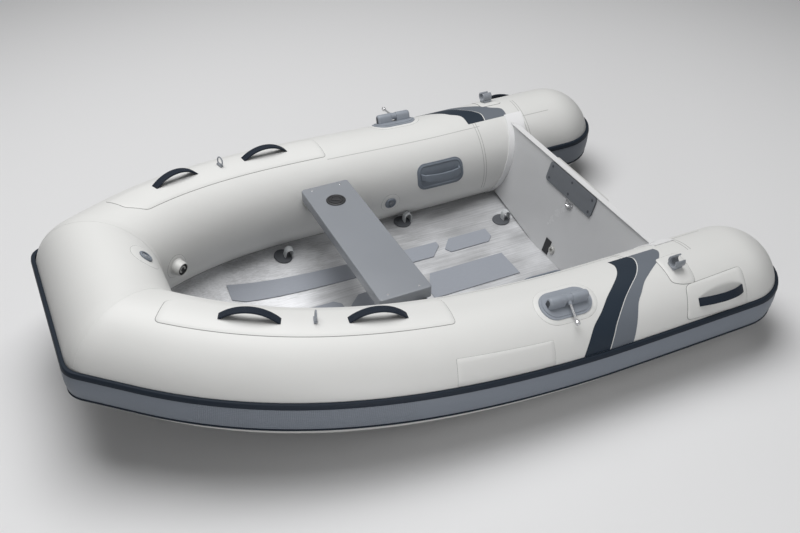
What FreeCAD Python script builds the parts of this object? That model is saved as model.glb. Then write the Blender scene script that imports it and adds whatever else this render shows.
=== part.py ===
import FreeCAD, Part
import math
import os
import Sketcher
from FreeCAD import Placement, Rotation, Vector

# A rigid-hulled inflatable tender, about 2.6 m long: three air chambers in a U round a
# folded aluminium hull, a raked transom, a bench seat and the fittings glued to the tubes.
# +X points to the bow, +Y to port and +Z up. The origin lies on the ground, in the middle
# of the length. Lengths are in millimetres and angles in degrees.

doc = FreeCAD.newDocument("inflatable_tender")
sheet = doc.addObject("Spreadsheet::Sheet", "Sizes")

DRIVING_SIZES = [
    ("tube_length", 2616, "stern end of the side tubes to the front of the bow tube"),
    ("tube_radius", 210, "air chamber radius"),
    ("centreline_half", 645, "middle of the boat to the axis of a side tube"),
    ("bow_half", 226, "what the plan curve would reach at the bow axis"),
    ("plan_lead", 337, "how far behind the stern the plan curve starts to bend"),
    ("plan_power", 5.88, "how late the plan curve bends"),
    ("bow_straight", 116, "straight stretch of side tube before the bow seam, along X"),
    ("sheer_rise", 163, "how far the tube axis rises at the bow"),
    ("sheer_start", 825, "where the axis starts to rise, from the stern"),
    ("sheer_power", 1.6, "how late the axis rises"),
    ("panel_count", 18, "cloth panels in the bent run of a side tube"),
    ("panel_crowding", 0.6, "how much shorter the panels get towards the bow"),
    ("glue_gap", 0.3, "glue line between curved faces"),
    ("wire_flats", 8, "flats round a bar of steel wire"),
    ("strake_top_angle", 13.1, "upper edge of the rubbing strake, above the equator"),
    ("strake_low_angle", 20.0, "lower edge of the rubbing strake, below the equator"),
    ("bead_angle", 5.8, "height of one edge bead round the tube"),
    ("strake_thick", 9, "rubbing strake thickness"),
    ("bead_thick", 13, "edge bead thickness"),
    ("keel_depth", 200, "tube axis down to the floor at the keel"),
    ("keel_band_half", 100, "half of the flat band along the keel"),
    ("keel_flat_end", 1450, "where the keel starts to rise, from the stern"),
    ("keel_power", 3.44, "how late the keel rises"),
    ("plate_thick", 3, "hull plate"),
    ("floor_edge_angle", 232, "where the floor meets the tube, round from outboard"),
    ("saddle_end_angle", 264, "outer edge of the saddle under the tube"),
    ("saddle_thick", 2.5, "saddle sheet"),
    ("guard_width", 60, "keel guard"),
    ("guard_depth", 20, "keel guard"),
    ("guard_taper", 0.72, "keel guard, width of its lower face over its upper"),
    ("runner_half", 300, "middle of the boat to a bottom runner"),
    ("runner_width", 26, "bottom runner"),
    ("runner_depth", 10, "bottom runner"),
    ("runner_length", 860, "bottom runner"),
    ("runner_lead", 30, "transom to the start of a bottom runner"),
    ("transom_foot", 575, "stern end to the transom's inner face at the floor"),
    ("transom_rake", 16.5, "transom lean"),
    ("transom_top", 170, "top of the transom above the tube axis"),
    ("transom_thick", 28, "transom box"),
    ("cap_width", 36, "flange on the transom, flush outside"),
    ("cap_thick", 3, "flange on the transom"),
    ("clamp_pad_width", 340, "pad for the motor clamp, inside"),
    ("clamp_pad_height", 88, "pad for the motor clamp, inside"),
    ("clamp_pad_thick", 7, "pad for the motor clamp, inside"),
    ("outer_pad_width", 390, "pad for the motor bracket, outside"),
    ("outer_pad_height", 170, "pad for the motor bracket, outside"),
    ("outer_pad_thick", 11, "pad for the motor bracket, outside"),
    ("pad_corner", 16, "pad corner radius"),
    ("collar_reach", 28, "sealing collar beyond each face of the transom"),
    ("collar_thick", 3.5, "sealing collar"),
    ("collar_top_angle", 112, "upper edge of the sealing collar, round from outboard"),
    ("seat_end_clear", 2, "between the bench ends and the tubes"),
    ("seat_width", 206, "bench along the boat"),
    ("seat_depth", 46, "folded edge of the bench"),
    ("seat_sheet", 3, "bench sheet"),
    ("seat_corner", 12, "bench corner radius"),
    ("seat_middle", 1441, "stern end to the middle of the bench"),
    ("seat_top", 173, "top of the bench above the tube axis"),
    ("seat_cap_radius", 40, "hatch cap in the bench"),
    ("seat_cap_height", 5, "hatch cap in the bench"),
    ("seat_cap_side", 268, "middle of the boat to the hatch cap"),
    ("bracket_length", 34, "rubber bracket under the bench end"),
    ("bracket_width", 64, "rubber bracket under the bench end"),
    ("bracket_height", 52, "rubber bracket under the bench end"),
    ("bracket_spread", 62, "middle of the bench to a bracket"),
    ("patch_thick", 1.5, "glued patches"),
    ("wear_patch_thick", 1.2, "long wear patch"),
    ("wear_patch_start", 1405, "long wear patch, from the stern"),
    ("wear_patch_end", 2300, "long wear patch, from the stern"),
    ("wear_patch_low", 73, "outer edge of the long wear patch, above the equator"),
    ("wear_patch_high", 115, "inner edge of the long wear patch, over the top"),
    ("wear_patch_chamfer", 50, "cut corner of the long wear patch, along the tube"),
    ("wear_patch_cut", 58, "cut corner of the long wear patch, across the tube"),
    ("handle_span", 202, "carrying handle"),
    ("handle_width", 32, "carrying handle"),
    ("handle_height", 38, "carrying handle"),
    ("handle_thick", 7, "carrying handle"),
    ("handle_angle", 91.5, "carrying handles and rings, round from outboard"),
    ("fore_handle_at", 2058, "stern end to the forward carrying handle, along the axis"),
    ("aft_handle_at", 1655, "stern end to the after carrying handle, along the axis"),
    ("stern_handle_at", 370, "stern end to the stern handle"),
    ("stern_handle_angle", 31, "stern handle, above the equator"),
    ("stern_patch_at", 391, "stern end to the middle of the patch under the stern handle"),
    ("stern_patch_angle", 33.5, "middle of the patch under the stern handle, above the equator"),
    ("stern_patch_length", 268, "patch under the stern handle"),
    ("stern_patch_width", 136, "patch under the stern handle"),
    ("ring_tab_length", 12, "tab of the lashing ring, along the tube"),
    ("ring_tab_width", 30, "tab of the lashing ring, across the tube"),
    ("ring_tab_height", 7, "tab of the lashing ring"),
    ("ring_at", 1860, "stern end to the lashing ring, along the axis"),
    ("ring_radius", 17, "lashing ring, to the middle of its wire"),
    ("ring_wire", 3, "lashing ring wire radius"),
    ("rowlock_at", 985, "stern end to the rowlock"),
    ("rowlock_angle", 70, "rowlock, above the equator"),
    ("rowlock_pad_length", 206, "rowlock foot"),
    ("rowlock_pad_width", 110, "rowlock foot"),
    ("rowlock_pad_thick", 7, "rowlock foot"),
    ("lug_length", 66, "each rowlock lug"),
    ("lug_bevel", 7, "bevel round the outer end of a lug"),
    ("lug_radius", 17, "each rowlock lug"),
    ("lug_wall", 3, "wall between the cross pin and the rowlock pin"),
    ("lug_gap", 25, "gap between the lugs"),
    ("lug_lift", 22, "rowlock axis above its foot"),
    ("lug_sink", 1, "moulded parts let into their foot, so that they are one piece"),
    ("axle_radius", 5, "rowlock cross pin"),
    ("axle_clearance", 0.15, "between the cross pin and the collar"),
    ("collar_radius", 15, "rowlock collar"),
    ("collar_width", 24, "rowlock collar"),
    ("thole_radius", 5, "rowlock pin"),
    ("thole_length", 92, "rowlock pin, from its axis to the knob"),
    ("knob_radius", 10, "knob on the rowlock pin"),
    ("port_pin_drop", 15, "port pin at rest, below the tube's tangent"),
    ("starboard_pin_lean", 75, "starboard pin at rest, outboard from straight out of the tube"),
    ("clip_at", 505, "stern end to the oar clip"),
    ("clip_angle", 74, "oar clip, above the equator"),
    ("clip_radius", 23, "oar clip"),
    ("clip_wall", 5, "oar clip"),
    ("clip_width", 44, "oar clip"),
    ("clip_mouth", 80, "oar clip opening"),
    ("clip_patch_length", 100, "patch under the oar clip"),
    ("clip_patch_width", 112, "patch under the oar clip"),
    ("clip_foot_width", 40, "foot of the oar clip, along the tube"),
    ("clip_foot_height", 8, "foot of the oar clip"),
    ("grab_at", 880, "stern end to the moulded grab handle"),
    ("grab_angle", 165, "moulded grab handle, round from outboard"),
    ("grab_length", 232, "foot of the moulded grab handle"),
    ("grab_sweep", 32, "foot of the moulded grab handle, round the tube"),
    ("grab_thick", 6, "foot of the moulded grab handle"),
    ("grab_bar", 12, "grip of the moulded grab handle"),
    ("grab_reach", 38, "top of the grip above its foot"),
    ("grab_grip", 186, "grip length"),
    ("grab_grip_width", 36, "grip, across"),
    ("valve_radius", 27, "air valve"),
    ("valve_height", 6, "air valve"),
    ("side_valve_at", 1132, "stern end to the side air valve"),
    ("side_valve_angle", 190, "side air valve, round from outboard"),
    ("bow_valve_side", 31, "middle of the boat to the bow air valve"),
    ("bow_valve_angle", 137, "bow air valve, round from the front"),
    ("fitting_radius", 30, "round fitting in the bow corner"),
    ("fitting_flange", 1.15, "flange of the round fitting, over its radius"),
    ("fitting_height", 34, "round fitting in the bow corner"),
    ("fitting_back", 161, "bow axis back to the round fitting, along the axis"),
    ("fitting_angle", 184, "round fitting, round from outboard"),
    ("loop_width", 24, "lifting strap"),
    ("loop_height", 46, "lifting strap"),
    ("loop_span", 36, "lifting strap"),
    ("loop_thick", 5, "lifting strap"),
    ("loop_foot_radius", 40, "lifting strap foot"),
    ("loop_foot_thick", 4, "lifting strap foot"),
    ("loop_shift", 22, "lifting strap abaft the middle of its foot"),
    ("fore_loop_back", 756, "forward lifting straps, back from the bow axis"),
    ("fore_loop_inset", 63, "forward lifting straps, in from the edge of the floor"),
    ("middle_loop_ahead", 480, "middle lifting straps, ahead of the transom's foot"),
    ("middle_loop_inset", 50, "middle lifting straps, in from the edge of the floor"),
    ("aft_loop_ahead", 52, "after lifting straps, ahead of the transom's foot"),
    ("aft_loop_inset", 210, "after lifting straps, in from the edge of the floor"),
    ("floor_pad_thick", 4, "foam floor pads"),
    ("row_pad_side", 188, "middle of the boat to the side rows of pads"),
    ("row_pad_width", 84, "pads of the side rows"),
    ("row_pad_fore", 1932, "front of the side rows of pads"),
    ("row_pad_step", 1260, "front of the second pads"),
    ("row_pad_aft_step", 976, "back of the second pads"),
    ("row_pad_aft_gap", 61, "between the second and third pads"),
    ("row_pad_aft", 727, "back of the third pads"),
    ("pad_gap", 30, "between the other pads of a row"),
    ("pad_bevel", 54, "long cut corners of the pads, along the boat"),
    ("pad_nick", 28, "short cut corners of the pads"),
    ("centre_pad_starboard", 96, "middle of the boat to the starboard edge of the centre pads"),
    ("centre_pad_port", 62, "middle of the boat to the port edge of the centre pads"),
    ("centre_pad_start", 742, "back of the after centre pad"),
    ("centre_pad_end", 1148, "front of the after centre pad"),
    ("fore_pad_start", 1511, "back of the forward centre pad"),
    ("fore_pad_end", 1740, "front of the forward centre pad"),
    ("eye_wire", 4, "steel eye wire radius"),
    ("eye_radius", 16, "steel eye"),
    ("eye_plate_thick", 4, "steel eye plate"),
    ("eye_drop", 22, "steel eye below the inside clamp pad"),
    ("eye_side", 25, "middle of the boat to the steel eye"),
    ("drain_radius", 18, "drain valve"),
    ("drain_lip", 8, "drain valve beyond the transom's face"),
    ("drain_hole_radius", 12, "drain bore"),
    ("drain_height", 44, "drain above the floor, up the transom"),
    ("drain_side", 27, "middle of the boat to the drain"),
    ("flap_width", 40, "rubber flap under the drain"),
    ("flap_height", 66, "rubber flap under the drain"),
    ("flap_thick", 2.5, "rubber flap under the drain"),
    ("flap_foot", 8, "rubber flap above the floor, up the transom"),
    ("flap_shift", 39, "middle of the flap to the drain, towards the keel"),
]

for row, (alias, value, note) in enumerate(DRIVING_SIZES, start=1):
    sheet.set(f"A{row}", note)
    sheet.set(f"B{row}", str(value))
    sheet.setAlias(f"B{row}", alias)
doc.recompute()

SIDES = {"port": 1, "starboard": -1}
ROUNDS = 40  # enough for a place on the bent tube to settle
subparts = []


def size(alias):
    """The value of one driving size, read from the sheet."""
    return float(sheet.get(alias))


def keep(obj, label):
    """Names a finished sub-part and lists it for export."""
    obj.Label = label
    subparts.append(obj)
    return obj


def solid_feature(label, shape, placement=None):
    """A sub-part whose curved form is worked out from the sheet's sizes."""
    feature = doc.addObject("Part::Feature", label)
    feature.Shape = shape
    if placement is not None:
        feature.Placement = placement
    return keep(feature, label)


def mirrored(shape):
    """The same shape on the other side of the boat."""
    return shape.mirror(Vector(0, 0, 0), Vector(0, 1, 0))


def on_side(shape, side):
    """The port shape as it is, or its mirror image for starboard."""
    return shape if side > 0 else mirrored(shape)


def together(shapes):
    """Solids that don't touch, in one sub-part."""
    solids = [solid for shape in shapes for solid in shape.Solids]
    return Part.makeCompound(solids)


# The tube axis. Stations are measured forward from the stern end of the side tubes.

bow_axis = size("tube_length") - size("tube_radius")
middle = size("tube_length") / 2
axis_height = size("keel_depth") + size("plate_thick") + size("guard_depth")
bend_end = bow_axis - size("bow_straight")


def curved_half_width(station):
    """Distance of the tube axis from the middle of the boat on the curved stretch."""
    lead = size("plan_lead")
    fall = size("centreline_half") - size("bow_half")
    share = (station + lead) / (bow_axis + lead)
    return size("centreline_half") - fall * share ** size("plan_power")


def curved_rise(station):
    """Height of the tube axis above its straight after part on the curved stretch."""
    start = size("sheer_start")
    share = max(station - start, 0.0) / (bow_axis - start)
    return size("sheer_rise") * share ** size("sheer_power")


def slope(curve, station):
    """Slope of a curve of the axis at a station."""
    step = 1.0
    return (curve(station + step) - curve(station - step)) / (2 * step)


def along_axis(curve, station):
    """A curve of the axis, with its straight stretch before the bow seam."""
    if station <= bend_end:
        return curve(station)
    return curve(bend_end) + slope(curve, bend_end) * (station - bend_end)


def bent_frame(station):
    """Point, forward, outboard and up directions on the smooth curve of the port tube axis."""
    held = min(station, bend_end)
    forward = Vector(1, slope(curved_half_width, held), slope(curved_rise, held))
    forward.normalize()
    outboard = Vector(-forward.y, forward.x, 0)
    outboard.normalize()
    up = forward.cross(outboard)
    point = Vector(
        station - middle,
        along_axis(curved_half_width, station),
        axis_height + along_axis(curved_rise, station),
    )
    return point, forward, outboard, up


def panel_ends():
    """Stations where the cloth panels of a side tube meet, closer together where it bends."""
    count = int(size("panel_count"))
    bent_run = bend_end - stern_station
    ends = [stern_station + bent_run * (i / count) ** size("panel_crowding") for i in range(count + 1)]
    return ends + [bow_axis + past_corner]


stern_station = size("tube_radius")
past_corner = 1.1 * size("tube_radius")
panel_stations = panel_ends()
panel_frames = [bent_frame(station) for station in panel_stations]


def axis_frame(station):
    """Point, forward, outboard and up of the port tube axis, on the straight panel at a station."""
    index = sum(1 for end in panel_stations[1:-1] if end <= station)
    start, end = panel_stations[index], panel_stations[index + 1]
    share = (station - start) / (end - start)
    return tuple(a + (b - a) * share for a, b in zip(panel_frames[index], panel_frames[index + 1]))


def round_tube(frame, angle, radius):
    """Point at an angle round the tube, from outboard over the top, at a radius."""
    point, _, outboard, up = frame
    turn = math.radians(angle)
    return point + outboard * (radius * math.cos(turn)) + up * (radius * math.sin(turn))


corner_point, corner_forward, _, corner_up = bent_frame(bow_axis)
bow_height = corner_point.z
seam_normal = corner_forward + Vector(0, -1, 0)
seam_normal.normalize()
seam_up = corner_up - seam_normal * (2 * corner_up.dot(seam_normal))
bow_twist = math.degrees(math.atan2(-seam_up.x, seam_up.z))
bow_frame = (Vector(bow_axis - middle, 0, bow_height), Vector(0, -1, 0), Vector(1, 0, 0), Vector(0, 0, 1))
tube_end = bow_axis + past_corner
skin = size("tube_radius") + size("glue_gap")


def stations(start, end):
    """Start, end and the panel ends between them."""
    least = 2.0
    return [start, *(s for s in panel_stations if start + least < s < end - least), end]


def ahead_of_seam(clear=0.0):
    """Everything ahead of the port bow seam, set back by a clearance."""
    reach = 0.6 * size("tube_length")
    block = Part.makeBox(reach, reach, reach, Vector(-reach / 2, -reach / 2, 0))
    base = corner_point - seam_normal * clear
    block.Placement = Placement(base, Rotation(Vector(0, 0, 1), seam_normal))
    return block


def behind_seam(clear=0.0):
    """Everything behind the port bow seam, on the side tube's side."""
    reach = 0.6 * size("tube_length")
    block = Part.makeBox(reach, reach, reach, Vector(-reach / 2, -reach / 2, -reach))
    base = corner_point + seam_normal * clear
    block.Placement = Placement(base, Rotation(Vector(0, 0, 1), seam_normal))
    return block


def sector_wire(frame, low, high, inner, outer):
    """Closed outline of a band round the tube, between two angles and two radii."""
    middle_angle = (low + high) / 2
    outer_arc = Part.Arc(
        round_tube(frame, low, outer),
        round_tube(frame, middle_angle, outer),
        round_tube(frame, high, outer),
    )
    inner_arc = Part.Arc(
        round_tube(frame, high, inner),
        round_tube(frame, middle_angle, inner),
        round_tube(frame, low, inner),
    )
    top = Part.LineSegment(round_tube(frame, high, outer), round_tube(frame, high, inner))
    bottom = Part.LineSegment(round_tube(frame, low, inner), round_tube(frame, low, outer))
    return Part.Wire([outer_arc.toShape(), top.toShape(), inner_arc.toShape(), bottom.toShape()])


def band(start, end, low, high, inner, outer):
    """A band along the port tube, between two angles and two radii."""
    wires = [sector_wire(axis_frame(station), low, high, inner, outer) for station in stations(start, end)]
    return Part.makeLoft(wires, True, True)


def ring_wire(frame, radius):
    """Closed ring round the tube, starting outboard."""
    arcs = [
        Part.Arc(*(round_tube(frame, angle, radius) for angle in angles)).toShape()
        for angles in ((0, 90, 180), (180, 270, 360))
    ]
    return Part.Wire(arcs)


def tube_run(radius, start, end):
    """A length of the port tube at a radius."""
    return Part.makeLoft([ring_wire(axis_frame(s), radius) for s in stations(start, end)], True, True)


def bow_band(half, low, high, inner, outer):
    """A band along the straight bow tube, from port to starboard."""
    point, forward, outboard, up = bow_frame
    port_frame = (point + Vector(0, half, 0), forward, outboard, up)
    face = Part.Face(sector_wire(port_frame, low, high, inner, outer))
    return face.extrude(Vector(0, -2 * half, 0))


def tube_place(frame, angle, lift):
    """Placement on the tube: X along it, Z straight out, at a lift above its skin."""
    _, forward, outboard, up = frame
    turn = math.radians(angle)
    out = outboard * math.cos(turn) + up * math.sin(turn)
    out.normalize()
    along = forward - out * forward.dot(out)
    along.normalize()
    across = out.cross(along)
    base = round_tube(frame, angle, size("tube_radius") + lift)
    return Placement(base, Rotation(along, across, out, "ZXY"))


def seated(station, angle, lift, reach):
    """Placement on the port tube, raised so that a foot of a given reach clears the bent skin."""
    radius = size("tube_radius") + lift
    start, end = axis_frame(station - reach), axis_frame(station + reach)
    place = tube_place(axis_frame(station), angle, lift)
    along = (round_tube(end, angle, radius) - round_tube(start, angle, radius)).normalize()
    out = place.Rotation.multVec(Vector(0, 0, 1))
    out = (out - along * out.dot(along)).normalize()
    under = stations(station - reach, station + reach)
    skin_points = [round_tube(axis_frame(s), angle, radius) for s in under]
    rise = max((point - place.Base).dot(out) for point in skin_points)
    return Placement(place.Base + out * rise, Rotation(along, out.cross(along), out, "ZXY"))


def rounded_prism(length, width, corner, height):
    """An upright block with round corners, centred on its foot."""
    block = Part.makeBox(length, width, height, Vector(-length / 2, -width / 2, 0))
    upright = [edge for edge in block.Edges if abs(edge.tangentAt(edge.FirstParameter).z) > 0.99]
    return block.makeFillet(min(corner, 0.499 * min(length, width)), upright)


def glued_patch(station, angle, length, width, corner, thick):
    """A patch with round corners that follows the port tube."""
    sweep = math.degrees(width / size("tube_radius"))
    layer = band(
        station - 0.7 * length, station + 0.7 * length, angle - sweep, angle + sweep, skin, skin + thick
    )
    depth = size("tube_radius") / 2
    prism = rounded_prism(length, width, corner, 2 * depth)
    prism.translate(Vector(0, 0, -depth))
    prism.Placement = tube_place(axis_frame(station), angle, 0).multiply(prism.Placement)
    return layer.common(prism)


def side_place(placement, side):
    """The same place on the other side of the boat, for a shape that is symmetrical."""
    if side > 0:
        return placement
    base = placement.Base
    forward = placement.Rotation.multVec(Vector(1, 0, 0))
    out = placement.Rotation.multVec(Vector(0, 0, 1))
    forward = Vector(forward.x, -forward.y, forward.z)
    out = Vector(out.x, -out.y, out.z)
    across = out.cross(forward)
    return Placement(Vector(base.x, -base.y, base.z), Rotation(forward, across, out, "ZXY"))


# Sketched bodies

def new_body(label):
    """An empty body."""
    return doc.addObject("PartDesign::Body", label)


def new_sketch(body, plane, name):
    """A sketch on one of the body's own origin planes."""
    sketch = body.newObject("Sketcher::SketchObject", name)
    support = [item for item in body.Origin.OriginFeatures if item.Role == plane][0]
    sketch.AttachmentSupport = [(support, "")]
    sketch.MapMode = "FlatFace"
    return sketch


def value_of(sketch, expression):
    """The present value of an expression of the sheet's sizes."""
    value = sketch.evalExpression(expression)
    return float(getattr(value, "Value", value))


def bound(sketch, kind, where, expression):
    """A sketch dimension bound to an expression of the sheet's sizes."""
    value = value_of(sketch, expression)
    number = sketch.addConstraint(Sketcher.Constraint(kind, *where, value))
    sketch.setExpression(f"Constraints[{number}]", expression)


def outline(sketch, corners):
    """A closed outline of straight lines with each corner at a pair of expressions."""
    points = [Vector(value_of(sketch, x), value_of(sketch, y), 0) for x, y in corners]
    first = sketch.GeometryCount
    count = len(points)
    for i in range(count):
        sketch.addGeometry(Part.LineSegment(points[i], points[(i + 1) % count]), False)
    for i in range(count):
        joined = (first + i, 2, first + (i + 1) % count, 1)
        sketch.addConstraint(Sketcher.Constraint("Coincident", *joined))
    for i, (x, y) in enumerate(corners):
        bound(sketch, "DistanceX", (-1, 1, first + i, 1), x)
        bound(sketch, "DistanceY", (-1, 1, first + i, 1), y)


def arch_outline(sketch, span, rise, thick):
    """An arched strap between two concentric arcs, with its feet on the sketch's X axis."""
    outer_radius = f"(({span}) ^ 2 / 4 + ({rise}) ^ 2) / (2 * {rise})"
    inner_radius = f"{outer_radius} - {thick}"
    depth = value_of(sketch, f"{outer_radius} - {rise}")
    radii = [value_of(sketch, outer_radius), value_of(sketch, inner_radius)]
    for radius in radii:
        half_turn = math.acos(depth / radius)
        ring = Part.Circle(Vector(0, -depth, 0), Vector(0, 0, 1), radius)
        sketch.addGeometry(
            Part.ArcOfCircle(ring, math.pi / 2 - half_turn, math.pi / 2 + half_turn), False
        )
    feet = [math.sqrt(radius ** 2 - depth ** 2) for radius in radii]
    for direction in (1, -1):
        ends = [Vector(direction * foot, 0, 0) for foot in feet]
        sketch.addGeometry(Part.LineSegment(ends[0], ends[1]), False)
    for outer_or_inner in (0, 1):
        for end, line in ((1, 2), (2, 3)):
            sketch.addConstraint(
                Sketcher.Constraint("Coincident", outer_or_inner, end, line, outer_or_inner + 1)
            )
    for line in (2, 3):
        sketch.addConstraint(Sketcher.Constraint("PointOnObject", line, 1, -1))
        sketch.addConstraint(Sketcher.Constraint("PointOnObject", line, 2, -1))
    sketch.addConstraint(Sketcher.Constraint("Coincident", 0, 3, 1, 3))
    sketch.addConstraint(Sketcher.Constraint("PointOnObject", 0, 3, -2))
    bound(sketch, "Radius", (0,), outer_radius)
    bound(sketch, "Radius", (1,), inner_radius)
    bound(sketch, "DistanceY", (0, 3, -1, 1), f"{outer_radius} - {rise}")


def pad(body, sketch, length, name, both_ways=False, reverse=False):
    """A pad with its length bound to an expression."""
    feature = body.newObject("PartDesign::Pad", name)
    feature.Profile = sketch
    feature.setExpression("Length", length)
    feature.Midplane = both_ways
    feature.Reversed = reverse
    doc.recompute()
    return feature


def pocket(body, sketch, length, name, both_ways=False, reverse=False):
    """A pocket with its length bound to an expression."""
    feature = body.newObject("PartDesign::Pocket", name)
    feature.Profile = sketch
    feature.setExpression("Length", length)
    feature.Midplane = both_ways
    feature.Reversed = reverse
    doc.recompute()
    return feature


def rounded(body, base, edges, radius, name):
    """Fillets on the named edges of a feature, with a bound radius."""
    feature = body.newObject("PartDesign::Fillet", name)
    feature.Base = (base, edges)
    feature.setExpression("Radius", radius)
    doc.recompute()
    return feature


def edges_along(feature, direction):
    """Names of the straight edges of a feature that run along a direction."""
    names = []
    for i, edge in enumerate(feature.Shape.Edges, start=1):
        ends = [vertex.Point for vertex in edge.Vertexes]
        if len(ends) != 2 or not isinstance(edge.Curve, (Part.Line, Part.LineSegment)):
            continue
        run = (ends[1] - ends[0]).normalize()
        if abs(run.dot(direction)) > 0.999:
            names.append(f"Edge{i}")
    return names


def revolved(label, corners, name="Turned"):
    """A body turned about its own Z axis from an outline in its XZ plane."""
    body = new_body(label)
    sketch = new_sketch(body, "XZ_Plane", name + "Outline")
    outline(sketch, corners)
    turn = body.newObject("PartDesign::Revolution", name)
    turn.Profile = sketch
    turn.ReferenceAxis = (sketch, ["V_Axis"])
    turn.Angle = 360
    doc.recompute()
    return body


# Air chambers

def side_chamber():
    """The port air chamber: cloth panels from a domed stern to a mitred bow end."""
    radius = size("tube_radius")
    centre, forward, _, up = axis_frame(stern_station)
    top = centre + up * radius
    end = centre - forward * radius
    between = centre + (up - forward) * (radius * math.sqrt(0.5))
    edges = [
        Part.Arc(top, between, end).toShape(),
        Part.LineSegment(end, centre).toShape(),
        Part.LineSegment(centre, top).toShape(),
    ]
    dome = Part.Face(Part.Wire(edges)).revolve(centre, forward, 360)
    return tube_run(radius, stern_station, tube_end).cut(ahead_of_seam()).fuse(dome)


port_chamber_shape = side_chamber()
for name, side in SIDES.items():
    solid_feature(f"{name}_chamber", on_side(port_chamber_shape, side))

bow_reach = corner_point.y + past_corner
bow_tube = Part.makeCylinder(
    size("tube_radius"), 2 * bow_reach, bow_frame[0] + Vector(0, -bow_reach, 0), Vector(0, 1, 0)
)
port_cut = behind_seam()
bow_shape = bow_tube.cut(port_cut).cut(mirrored(port_cut))
solid_feature("bow_chamber", bow_shape)


# Rubbing strake: a grey band with a navy bead along each edge

rake_tan = math.tan(math.radians(size("transom_rake")))
strake_drop = size("keel_depth") + size("tube_radius") * math.sin(math.radians(size("strake_low_angle")))
strake_end = (
    size("transom_foot") - size("transom_thick") - 2 * size("collar_reach") - rake_tan * strake_drop
)


def strake_ring(low, high, inner, outer):
    """A strake band from the transom round the stern dome and forward to the bow seam."""
    side_run = band(stern_station, tube_end, low, high, inner, outer).cut(ahead_of_seam())
    frame = axis_frame(stern_station)
    section = Part.Face(sector_wire(frame, low, high, inner, outer))
    round_stern = section.revolve(frame[0], Vector(0, 0, 1), 180)
    inboard_run = band(stern_station, strake_end, 180 - high, 180 - low, inner, outer)
    return side_run.fuse(round_stern).fuse(inboard_run).removeSplitter()


def bow_strake(low, high, inner, outer):
    """The same band across the bow, turned up to meet the side bands at the seams."""
    run = bow_band(bow_reach, low + bow_twist, high + bow_twist, inner, outer)
    return run.cut(port_cut).cut(mirrored(port_cut))


strake_top = size("strake_top_angle")
strake_low = -size("strake_low_angle")
bead = size("bead_angle")
strake_span = (strake_low + bead, strake_top - bead, skin, skin + size("strake_thick"))
bead_spans = [
    (strake_top - bead, strake_top, skin, skin + size("bead_thick")),
    (strake_low, strake_low + bead, skin, skin + size("bead_thick")),
]

side_strake = strake_ring(*strake_span)
side_beads = [strake_ring(*span) for span in bead_spans]
for name, side in SIDES.items():
    solid_feature(f"{name}_strake", on_side(side_strake, side))
    solid_feature(f"{name}_beads", together([on_side(item, side) for item in side_beads]))
solid_feature("bow_strake", bow_strake(*strake_span))
solid_feature("bow_beads", together([bow_strake(*span) for span in bead_spans]))


# Hull: a folded bottom plate with a flat band along the keel, and saddles under the tubes

edge_angle = size("floor_edge_angle")
edge_radius = skin + size("saddle_thick") + size("glue_gap")
bow_edge = round_tube(bow_frame, edge_angle + bow_twist, edge_radius)
keel_floor = size("plate_thick") + size("guard_depth")


def keel_height(station):
    """Height of the floor along the keel."""
    start = size("keel_flat_end")
    end = bow_edge.x + middle
    share = max(station - start, 0.0) / (end - start)
    rise = bow_edge.z - keel_floor
    return keel_floor + rise * min(share, 1.0) ** size("keel_power")


def floor_edge(station):
    """Where the floor meets the port tube's saddle."""
    return round_tube(axis_frame(station), edge_angle, edge_radius)


def edge_station(x_station):
    """Axis station whose floor edge lies at a distance from the stern."""
    guess = x_station
    for _ in range(ROUNDS):
        guess += x_station - (floor_edge(guess).x + middle)
    return guess


corner_edge_station = bow_axis
for _ in range(ROUNDS):
    ahead = (floor_edge(corner_edge_station) - corner_point).dot(seam_normal)
    corner_edge_station -= ahead
corner_edge = floor_edge(corner_edge_station)
floor_front = min(corner_edge.x, bow_edge.x) + middle - size("glue_gap")
saddle_foot = size("transom_foot") - size("transom_thick")


def floor_row_at(x_station):
    """Distance from the stern, edge offset, edge height and keel height of one floor section."""
    edge = floor_edge(edge_station(x_station))
    return x_station, edge.y, edge.z, keel_height(x_station)


def floor_row_stations():
    """Distances from the stern of the floor's sections, one at each panel end of the tubes."""
    edges = [floor_edge(station).x + middle for station in panel_stations]
    least = 5.0
    inner = [x for x in (*edges, size("keel_flat_end")) if saddle_foot + least < x < floor_front - least]
    return [saddle_foot, *sorted(inner), floor_front]


floor_rows = [floor_row_at(x) for x in floor_row_stations()]


def floor_row(x_station):
    """The same values anywhere, on the straight run between two sections."""
    index = sum(1 for row in floor_rows[1:-1] if row[0] <= x_station)
    start, end = floor_rows[index], floor_rows[index + 1]
    share = (x_station - start[0]) / (end[0] - start[0])
    return tuple(a + (b - a) * share for a, b in zip(start, end))


def rows_between(start, end):
    """Start, end and the floor's sections between them."""
    return [start, *(row[0] for row in floor_rows if start + 1 < row[0] < end - 1), end]


def floor_section(x_station, low, high):
    """Cross outline of a layer of the floor, between two heights above its surface."""
    _, edge_y, edge_z, keel_z = floor_row(x_station)
    x = x_station - middle
    half_band = size("keel_band_half")
    surface = [(edge_y, edge_z), (half_band, keel_z), (-half_band, keel_z), (-edge_y, edge_z)]
    top = [Vector(x, y, z + high) for y, z in surface]
    bottom = [Vector(x, y, z + low) for y, z in reversed(surface)]
    return Part.makePolygon(top + bottom + top[:1])


def floor_layer(low, high):
    """A layer that follows the floor from the transom to the bow."""
    wires = [floor_section(row[0], low, high) for row in floor_rows]
    return Part.makeLoft(wires, True, True)


solid_feature("hull_plate", floor_layer(-size("plate_thick"), 0.0))


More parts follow.
